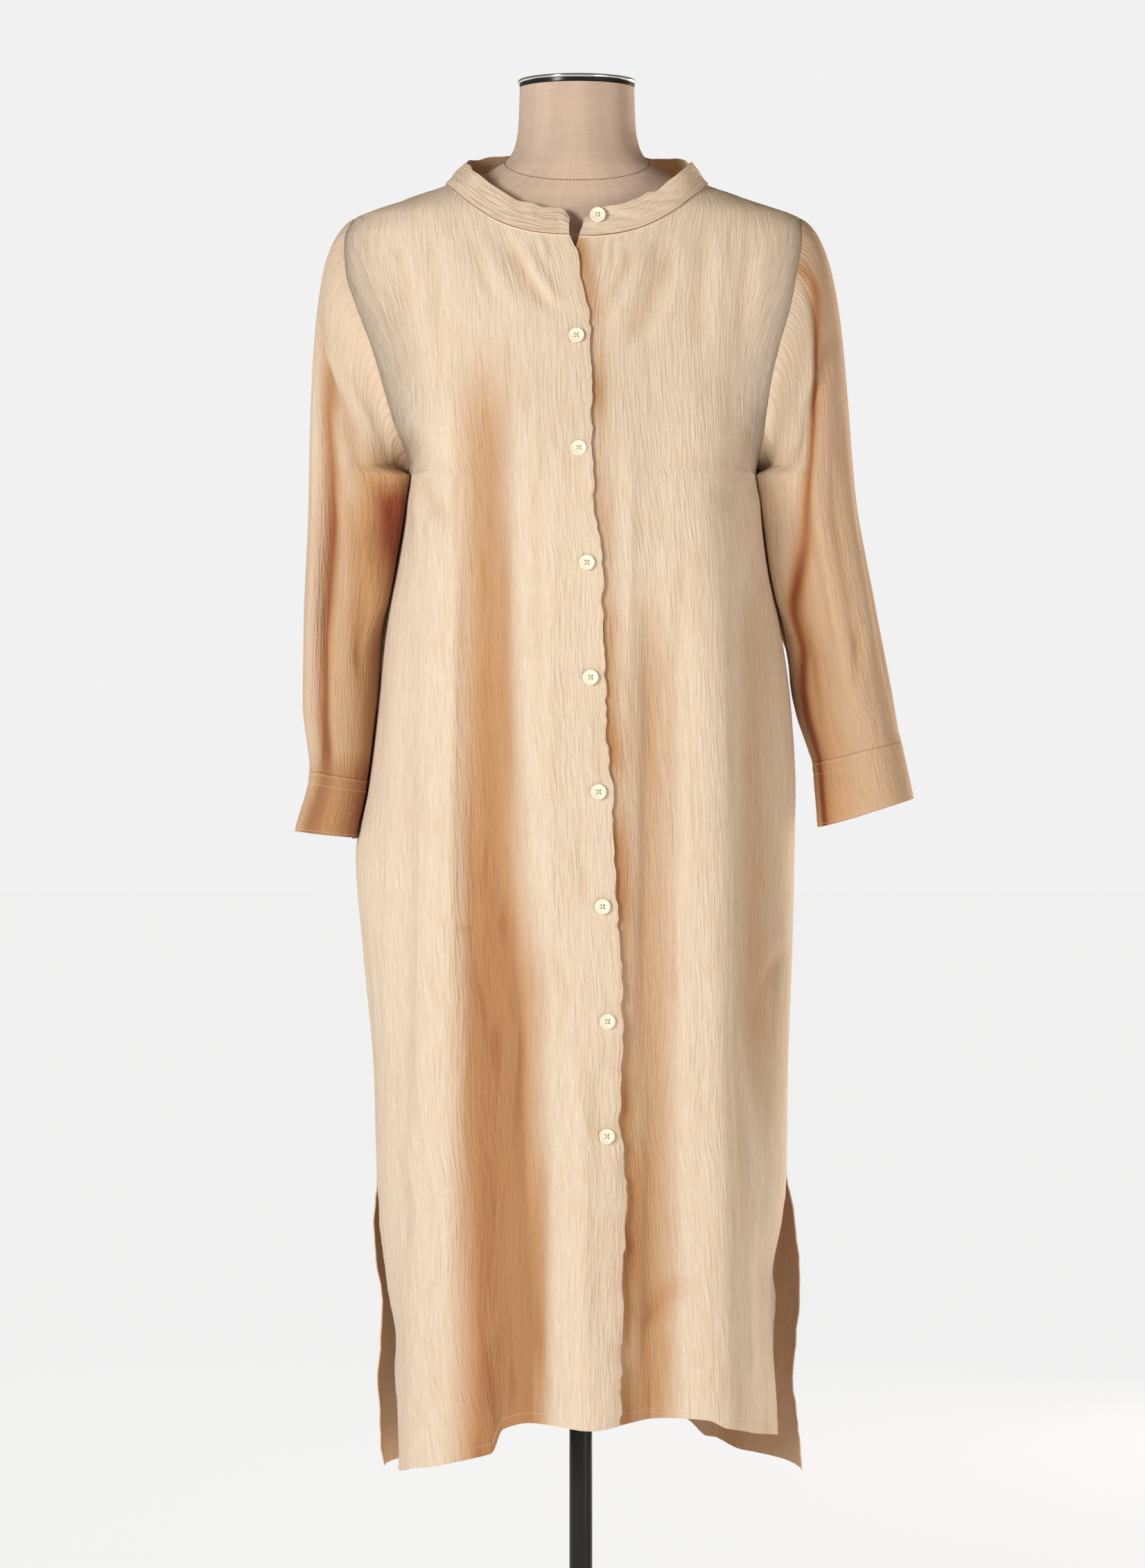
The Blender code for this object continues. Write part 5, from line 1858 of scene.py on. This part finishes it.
    def tucked(self, points: Array, angle: Array) -> Array:
        """Points with the inner side drawn up to the body just below the armhole.

        Args:
            points: the sleeve's grid.
            angle: the columns' places round it, in degrees.

        Returns:
            The grid, closed against the body there.
        """
        inner = fade(1.5 - np.abs(angle - 180.0) / 60.0)[:, None]
        z = points[..., 2]
        near = inner * fade((SHAPE.underarm + 0.010 - z) / 0.010) * fade((z - 1.02) / 0.06)
        target = np.array(points)
        target[..., 0] = self.side.value * 0.05
        beside = self.clear_of_body(target)[..., 0] - self.side.value * self.tuck
        pulled = np.array(points)
        further = self.side.value * (points[..., 0] - beside) > 0
        near = np.where(further, near, 0.0)
        pulled[..., 0] = points[..., 0] * (1 - near) + beside * near
        return pulled

    def creases(self, angle: Array, height: Array) -> Array:
        """Relief of the listed creases, round and down the sleeve."""
        total = np.zeros(np.broadcast(angle, height).shape)
        for crease in SLEEVE_CREASES[self.side]:
            middle = 0.5 * (crease.across_start + crease.across_end)
            near = wrapped(angle - middle)
            round_it = math.radians(1.0) * self.radius
            start = (crease.across_start - middle) * round_it
            moved = replace(crease, across_start=start, across_end=(crease.across_end - middle) * round_it)
            total = total + crease_relief((moved,), near * round_it, height)
        return total

    def build(self) -> None:
        word = self.side.name.lower()
        grid, angle = self.smooth_grid()
        height = grid[..., 2]
        u = np.broadcast_to(angle[:, None] / 360.0 * self.girth, height.shape)
        v = run_lengths(grid, 1)
        held = fade(v / 0.012) * fade((v[:, -1:] - v) / 0.010)
        fine = Crinkle(41 + self.side.value).height(u, height, self.girth)
        gather = Crinkle(51 + self.side.value, spacing=0.0085, length=0.05, depth=0.0008)
        to_cuff = swell(v[:, -1:] - v, 0.035)
        hand = self.creases(np.broadcast_to(angle[:, None], height.shape), height)
        fine = fine * (1 - 0.7 * fade((height - 1.22) / 0.10))
        relief = (hand + fine + gather.height(u, height, self.girth) * to_cuff) * held
        sign = self.side.value
        outer = grid + (normals_of(grid, ring=True) * sign) * relief[..., None]
        normals = normals_of(outer, ring=True) * sign
        painted_shade = self.painted_shades(angle, height, hand)
        shell = self.shell(f"dress_sleeve_{word}", outer, normals, self.wall, painted_shade)
        hang(shell, f"sleeve_{word}")
        self.build_cuff(angle, outer[:, -1])

    def painted_shades(self, angle: Array, height: Array, hand: Array) -> Array:
        """How much shade is painted into each point of the sleeve's colour."""
        away = wrapped(angle[:, None] - self.fold_angle())
        main = np.exp(-(((away - 12.0) / (0.9 * self.fold_spread)) ** 4)) * fade((1.33 - height) / 0.10)
        inner = swell(angle[:, None] - 158.0, 44.0) * fade((1.24 - height) / 0.08)
        low = fade((1.24 - height) / 0.12)
        cuff = fade((0.945 - height) / 0.03)
        if self.side is Side.RIGHT:
            # Painted shade over the whole hanging sleeve, more towards its cuff, lighter along its lit
            # outer strip, deepest in the fold's valley and a pocket below the arm
            strip = swell((angle[:, None] + 168.0) % 360.0 - 180.0, 20.0)
            lobe = (self.upper_shade + self.low_shade * low + self.cuff_shade * cuff) * (1 - 0.45 * strip)
            pocket = swell(angle[:, None] - 124.0, 24.0) * swell(height - 1.146, 0.046)
            valley = self.valley_shade * main * (1 - 0.7 * cuff)
            creased = self.crease_shades[0] * np.clip(hand / FULL_CREASE, 0.0, 1.0)
            return lobe + valley + self.inner_shades[0] * inner + self.pocket_shade * pocket + creased
        # Painted shadow line beside the front fold edge, and painted shade over the outer face beyond it
        middle = Curve(self.shadow_line_heights, self.shadow_line_angles)(height)
        ahead = middle - angle[:, None]
        line = swell(ahead, 6.0) * fade((1.41 - height) / 0.06)
        plane = self.plane_shades[0] + self.plane_shades[1] * fade(ahead / 14.0 + 0.5)
        creased = self.crease_shades[1] * np.clip(hand / FULL_CREASE, 0.0, 1.0)
        return plane + self.shadow_line_shade * line + self.inner_shades[1] * inner + creased

    def shell(self, name: str, outer: Array, normals: Array, wall: float, painted_shade: Array) -> Shell:
        """A ring-shaped wall with the weave laid round and down it."""
        across = np.arange(self.around + 1) / self.around * self.girth
        down = run_lengths(outer, 1)
        down = np.concatenate([down, down[:1]])
        place = np.stack([np.broadcast_to(across[:, None], down.shape), down], axis=-1)
        return Shell(name, outer, normals, wall, place, painted_shade, ring=True)

    def build_cuff(self, angle: Array, seam: Array) -> None:
        """Args:
            angle: places round it, in degrees.
            seam: the sleeve's lowest ring.
        """
        word = self.side.name.lower()
        rows = SLEEVES[self.side]
        heights = np.linspace(rows[self.end_row].height, rows[-1].height, self.cuff_rows + 1)
        grid = self.hanging_points(angle[:, None], np.broadcast_to(heights, (self.around, len(heights))))
        grid[:, 0, 2] -= SHAPE.seam_gap
        u = np.broadcast_to(angle[:, None] / 360.0 * self.girth, grid.shape[:2])
        v = run_lengths(grid, 1)
        to_end = v[:, -1:] - v
        relief = Crinkle(61 + self.side.value, spacing=0.006, length=0.02).height(u, v, self.girth) + 0.0004
        for end, place in self.stitch_rows:
            relief = relief - GROOVE_DEPTH * swell((v if end is End.FIRST else to_end) - place, 0.0011)
        sign = self.side.value
        outer = grid + normals_of(grid, ring=True) * sign * relief[..., None]
        normals = normals_of(outer, ring=True) * sign
        painted_shade = self.painted_shades(angle, grid[..., 2], 0 * v)
        shell = self.shell(f"dress_cuff_{word}", outer, normals, self.cuff_wall, painted_shade)
        hang(shell, f"cuff_{word}")
        lines = []
        for end, place in self.stitch_rows:
            points, ways = shell.line(1, end, place)
            lines.append((np.concatenate([points, points[:1]]), np.concatenate([ways, ways[:1]])))
        StitchRow().build(f"stitches_cuff_{word}", lines)


def node_points(name: str) -> Array:
    """A CAD node's points, as they lie in the row frame."""
    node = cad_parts[name]
    count = len(node.data.vertices)
    points = np.empty(count * 3, np.float32)
    node.data.vertices.foreach_get("co", points)
    return points.reshape(-1, 3).astype(float)


def button_seat(name: str) -> tuple[Array, Array]:
    """Where a button's CAD solid lies.

    Args:
        name: the node.

    Returns:
        The middle of its underside, and the way it faces.
    """
    points = node_points(name)
    middle = points.mean(axis=0)
    _, _, axes = np.linalg.svd(points - middle, full_matrices=False)
    way = axes[2] if axes[2][1] < 0 else -axes[2]
    low = ((points - middle) @ way).min()
    return middle + way * low, way


def turned(name: str, profile: Sequence[Pair], sides: int) -> Object:
    """A closed solid turned about Z.

    Args:
        name: the object's name.
        profile: radius and height pairs, bottom to top.
        sides: points in a ring.

    Returns:
        The object.
    """
    turn = 2 * np.pi * np.arange(sides) / sides
    flat = np.stack([np.cos(turn), np.sin(turn), 0 * turn], axis=-1)
    rings = [r * flat + [0.0, 0.0, z] for r, z in profile]
    faces = [tuple(face[::-1]) for face in ring_faces(len(profile), sides)]
    return mesh_object(name, np.concatenate(rings), faces)


@dataclass
class Buttons:
    """The cream four-hole buttons, their threads and their buttonholes."""

    radius: float = 0.0070
    thickness: float = 0.0028
    hole_radius: float = 0.0008
    hole_place: float = 0.0020
    sides: int = 48
    thread_radius: float = 0.00032
    buttonhole_length: float = 0.0160
    buttonhole_width: float = 0.0026
    bar_pitch: float = 0.0006

    def profile(self) -> list[Pair]:
        """Radius and height of the disc from its underside to the dished middle."""
        out = (0.70, 0.86, 0.97, 1.00, 0.985, 0.93, 0.86, 0.79, 0.72, 0.64, 0.30)
        up = (0.00, 0.08, 0.35, 0.62, 0.84, 0.98, 1.00, 0.95, 0.82, 0.75, 0.72)
        return [(x * self.radius, z * self.thickness) for x, z in zip(out, up)]

    def blank(self) -> Mesh:
        """The disc with its four holes.

        Returns:
            The mesh that every button shares the shape of.
        """
        disc = turned("button_blank", self.profile(), self.sides)
        drills = []
        for n in range(4):
            turn = math.radians(45 + 90 * n)
            ends = ((self.hole_radius, -self.thickness), (self.hole_radius, 2 * self.thickness))
            drill = turned(f"drill_{n}", ends, 16)
            drill.location = (self.hole_place * math.cos(turn), self.hole_place * math.sin(turn), 0.0)
            cut = disc.modifiers.new(drill.name, "BOOLEAN")
            cut.operation = "DIFFERENCE"
            cut.object = drill
            drills.append(drill)
        bpy.context.view_layer.update()
        graph = bpy.context.evaluated_depsgraph_get()
        mesh = bpy.data.meshes.new_from_object(disc.evaluated_get(graph))
        for helper in (disc, *drills):
            bpy.data.objects.remove(helper)
        mesh.shade_smooth()
        mesh.set_sharp_from_angle(angle=math.radians(35))
        return mesh

    def thread_mesh(self, name: str) -> Object:
        """Two threads crossed over the middle of a button."""
        tubes = []
        for n in range(2):
            turn = math.radians(45 + 90 * n)
            way = np.array([math.cos(turn), math.sin(turn), 0.0])
            t = np.linspace(-1.0, 1.0, 11)
            path = way * (t * self.hole_place)[:, None]
            path[:, 2] = 0.72 * self.thickness + 0.0003 * (1 + n) * (1 - t**4) - 0.0006 * t**8
            up = np.tile([0.0, 0.0, 1.0], (len(t), 1))
            tubes.append(tube_rings(path, up, np.full((len(t), 2), self.thread_radius), 6))
        return joined_tubes(name, tubes)

    def build_buttonhole(
        self, number: str, seat: Array, way: Array, along: tuple[float, float, float] = (0, 0, 1)
    ) -> None:
        """A worked buttonhole: bars of thread round a slot.

        Args:
            number: the button's own name part.
            seat: the middle of the buttonhole on the cloth.
            way: the way the cloth faces.
            along: which way the slot runs.
        """
        up = np.array(along, float)
        up = unit(up - way * (up @ way))
        across = np.cross(up, way)
        half = 0.5 * (self.buttonhole_length - self.buttonhole_width)
        bars = []
        for place in np.arange(-half, half, self.bar_pitch):
            for side in (-1.0, 1.0):
                bars.append((up * place + across * side * 0.0008, across * side))
        for turn in np.linspace(0.0, math.pi, 7):
            for end in (-1.0, 1.0):
                out = across * math.cos(turn) + up * end * math.sin(turn)
                bars.append((up * end * half + out * 0.0008, out))
        tubes = []
        for centre, out in bars:
            t = np.array([-0.5, -0.3, 0.3, 0.5]) * 0.0012
            path = seat + centre + out * t[:, None] + way * 0.0002
            ways = np.tile(way, (4, 1))
            thick = 0.00030 * np.array([[0.4, 0.5], [1.0, 1.0], [1.0, 1.0], [0.4, 0.5]])
            tubes.append(tube_rings(path, ways, thick, 5))
        dress(joined_tubes(f"buttonhole_{number}", tubes), THREAD)

    def build(self, collar: Shell) -> None:
        """Builds and dresses every button where its CAD solid lies.

        Args:
            collar: the band, whose right end has the undone button's hole.
        """
        row = collar.outer.shape[1] // 2
        column = int(np.argmin(np.abs(run_lengths(collar.outer, 0)[:, row] - 0.020)))
        seat = collar.outer[column, row] + MIDDLE
        run = collar.outer[column + 1, row] - collar.outer[column, row]
        self.build_buttonhole("collar", seat, collar.normals[column, row], tuple(run))
        blank = self.blank()
        for number in [*(str(n + 1) for n in range(8)), "collar"]:
            name = f"button_{number}"
            seat, way = button_seat(name)
            turn = Vector(way).to_track_quat("Z", "Y").to_matrix().to_4x4()
            place = Matrix.Translation(Vector(seat + 0.0006 * way)) @ turn
            mesh = blank.copy()
            mesh.transform(place)
            obj = dress(linked(f"cream_button_{number}", mesh), BUTTON_SHELL)
            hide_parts(name)
            thread = self.thread_mesh(f"button_thread_{number}")
            thread.data.transform(place)
            dress(thread, THREAD)
            if number != "collar":
                self.build_buttonhole(number, seat, way)


@dataclass
class DressForm:
    """The limbless form: linen torso, capped neck, pole and foot."""

    sides: int = 96
    rows: int = 150
    cap_radius: float = 0.0536
    cap_bottom: float = NECK_TOP + 0.0003
    cap_thickness: float = 0.007
    rim_sides: int = 16
    pole_radius: float = 0.0105
    base_radius: float = 0.150
    base_thickness: float = 0.010
    collar_radius: float = 0.022
    collar_height: float = 0.030
    fit_gap: float = 0.0003
    seam_front: float = 1.4525
    seam_side: float = 1.4750

    def ring(self, height: Real, angle: Array) -> Array:
        """Points of the torso at a height.

        Args:
            height: one height, or one for each angle.
            angle: angles round it, in radians.

        Returns:
            The points, measured from the figure's middle.
        """
        table = curves_of(FORM_ROWS)
        depth = np.where(np.sin(angle) > 0, table["back"](height), table["front"](height))
        x = table["half"](height) * np.cos(angle)
        return np.stack([x, depth * np.sin(angle), np.broadcast_to(height, x.shape)], axis=-1)

    def build_torso(self) -> None:
        """The linen-covered torso with its neck."""
        places = np.array([row.height for row in FORM_ROWS])
        steps = np.linspace(0, len(places) - 1, self.rows + 1)
        heights = np.interp(steps, np.arange(len(places)), places)
        angle = 2 * np.pi * np.arange(self.sides) / self.sides
        rings = np.array([self.ring(np.full(self.sides, z), angle) for z in heights])
        points = rings.reshape(-1, 3) + MIDDLE
        faces = [face[::-1] for face in ring_faces(len(heights), self.sides)]
        obj = mesh_object("linen_torso", points, faces)
        place = obj.data.attributes.new("cloth_place", "FLOAT_VECTOR", "POINT")
        values = np.zeros((len(heights), self.sides, 3), np.float32)
        values[..., 0] = np.abs(np.angle(np.exp(1j * (angle - 0.5 * np.pi)))) * 0.075
        values[..., 1] = heights[:, None]
        place.data.foreach_set("vector", values.reshape(-1))
        dress(obj, LINEN)
        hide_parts("form_torso")

    def build_neck_seam(self) -> None:
        """The dark seam where the neck is sewn to the shoulders."""
        angle = 2 * np.pi * np.arange(97) / 96
        front = np.clip(-np.sin(angle), 0.0, 1.0)
        heights = between(self.seam_side, self.seam_front, front**2)
        path = self.ring(heights, angle)
        normals = unit(path * np.array([1.0, 1.0, 0.0]))
        path = path + normals * 0.0002
        row = StitchRow(pitch=0.0030, length=0.0022, radius=0.00040)
        tubes = [tube + MIDDLE for tube in row.loops(path, normals)]
        dress(joined_tubes("neck_seam", tubes), SEAM_DARK)

    def build_cap(self) -> None:
        """A black plate in a chrome rim on top of the neck."""
        low = self.cap_bottom
        top = low + self.cap_thickness
        r = self.cap_radius
        profile = [(r - 0.0022, low), (r - 0.0014, low + 0.0006), (r - 0.0012, top - 0.0026)]
        profile += [(r - 0.0030, top - 0.0016), (0.012, top - 0.0014)]
        plate = turned("cap_plate", profile, self.sides)
        plate.data.transform(Matrix.Translation((SHAPE.centre_x, 0.0, 0.0)))
        dress(plate, BLACK)
        angle = 2 * np.pi * np.arange(self.sides) / self.sides
        turn = 2 * np.pi * np.arange(self.rim_sides) / self.rim_sides
        out = r - 0.0016 + 0.0016 * np.cos(turn)
        rise = top - 0.0018 + 0.0017 * np.sin(turn)
        x = out * np.cos(angle)[:, None]
        y = out * np.sin(angle)[:, None]
        rings = np.stack([x, y, np.broadcast_to(rise, x.shape)], axis=-1)
        faces = []
        for i in range(self.sides):
            here, there = i * self.rim_sides, (i + 1) % self.sides * self.rim_sides
            for k in range(self.rim_sides):
                n = (k + 1) % self.rim_sides
                faces.append((here + k, there + k, there + n, here + n))
        rim = mesh_object("cap_rim", rings.reshape(-1, 3) + MIDDLE, faces)
        dress(rim, CHROME)
        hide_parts("form_neck_cap")

    def build_stand(self) -> None:
        """The glossy pole and its round foot."""
        low = self.collar_height + self.fit_gap
        high = FORM_ROWS[0].height - self.fit_gap
        r = self.pole_radius
        pole = turned("stand_pole", [(r - 0.0004, low), (r, low + 0.0004), (r, high)], 64)
        dress(pole, BLACK)
        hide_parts("form_pole")
        b = self.base_radius
        t = self.base_thickness
        c = self.collar_radius
        profile = [(b - 0.0020, 0.0), (b - 0.0006, 0.0006), (b, 0.0020), (b, t - 0.0032)]
        profile += [(b - 0.0009, t - 0.0010), (b - 0.0032, t), (c + 0.0060, t + 0.0016)]
        profile += [(c + 0.0010, t + 0.0030), (c, t + 0.0060)]
        profile += [(c - 0.0016, self.collar_height - 0.0012), (c - 0.0030, self.collar_height)]
        base = turned("stand_foot", profile, 128)
        dress(base, BLACK)
        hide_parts("form_base")

    def build(self) -> None:
        """Builds and dresses the whole form."""
        self.build_torso()
        self.build_neck_seam()
        self.build_cap()
        self.build_stand()


@dataclass
class Studio:
    """Camera, pale floor and soft light."""

    distance: float = 4.9
    eye_height: float = 0.91
    eye_x: float = -0.0076
    metres_per_pixel: float = 0.00063
    image_height: int = 2263
    sensor: float = 24.0
    floor_reach: float = 40.0
    backdrop: float = 0.88
    floor_glow: float = 0.862
    ambient: float = 0.20
    key: tuple[float, float, float] = (-2.65, -3.15, 1.6)
    key_size: float = 1.0
    key_power: float = 150.0
    fill: tuple[float, float, float] = (2.7, -2.5, 0.35)
    fill_power: float = 68.0
    rim: tuple[float, float, float] = (1.9, 2.7, 0.8)
    rim_power: float = 120.0
    warm: tuple[float, float, float] = (1.0, 0.88, 0.75)

    def build_camera(self) -> None:
        """The camera at the photograph's viewing angle."""
        data = bpy.data.cameras.new("camera")
        data.sensor_fit = "VERTICAL"
        data.sensor_height = self.sensor
        data.lens = self.sensor * self.distance / (self.image_height * self.metres_per_pixel)
        data.clip_end = 200.0
        camera = linked("camera", data)
        camera.location = (self.eye_x, -self.distance, self.eye_height)
        camera.rotation_euler = (math.pi / 2, 0.0, 0.0)
        bpy.context.scene.camera = camera

    def build_floor(self) -> None:
        """A pale floor that runs out into the pale backdrop."""
        r = self.floor_reach
        points = [(-r, -r, 0.0), (r, -r, 0.0), (r, r, 0.0), (-r, r, 0.0)]
        floor = mesh_object("floor", np.array(points), [(0, 1, 2, 3)])
        material, graph, shader = plain_material("pale floor")
        cloud = graph.add("TexNoise", {"Scale": 1.5, "Detail": 2.0})
        colour = graph.mix(cloud.outputs[0], (0.060, 0.060, 0.060, 1.0), (0.056, 0.056, 0.056, 1.0))
        graph.fill(shader, {"Base Color": colour, "Roughness": 1.0, "Specular IOR Level": 0.0})
        graph.fill(shader, {"Emission Color": (1.0, 1.0, 1.0, 1.0), "Emission Strength": self.floor_glow})
        floor.data.materials.append(material)

    def build_light(self) -> None:
        """A soft key from the front left, a low fill, a light behind and a pale surround."""
        for name, place, power, size, colour in (
            ("key", self.key, self.key_power, self.key_size, (1.0, 1.0, 1.0)),
            ("fill", self.fill, self.fill_power, 1.6, self.warm),
            ("rim", self.rim, self.rim_power, 1.4, self.warm),
        ):
            data = bpy.data.lights.new(name, "AREA")
            data.shape = "RECTANGLE"
            data.size = size
            data.size_y = 1.3 * size
            data.energy = power
            data.color = colour
            light = linked(name, data)
            light.location = place
            aim = Vector((0.0, 0.0, 0.95)) - Vector(place)
            light.rotation_euler = aim.to_track_quat("-Z", "Y").to_euler()
        world = bpy.data.worlds.new("studio")
        world.use_nodes = True
        graph = Graph(world.node_tree)
        light_path = graph.add("LightPath")
        surround = graph.tree.nodes["Background"]
        seen = light_path.outputs["Is Camera Ray"]
        level = graph.add("MapRange", {0: seen, 3: self.ambient, 4: self.backdrop})
        tint = graph.mix(seen, (1.0, 0.80, 0.62, 1.0), (1.0, 1.0, 1.0, 1.0))
        graph.fill(surround, {"Color": tint, "Strength": level.outputs[0]})
        bpy.context.scene.world = world
        bpy.context.scene.view_settings.view_transform = "Standard"

    def build(self) -> None:
        """Builds the studio."""
        self.build_camera()
        self.build_floor()
        self.build_light()


def main() -> None:
    """Builds every sub-assembly in order."""
    logging.basicConfig(level=logging.INFO, format="%(name)s %(message)s")
    Studio().build()
    DressForm().build()
    fronts = Fronts().build()
    back = Back().build()
    collar = CollarBand().build(fronts, back)
    for side in Side:
        Sleeve(side).build()
    Buttons().build(collar)


if __name__ == "__main__":
    main()
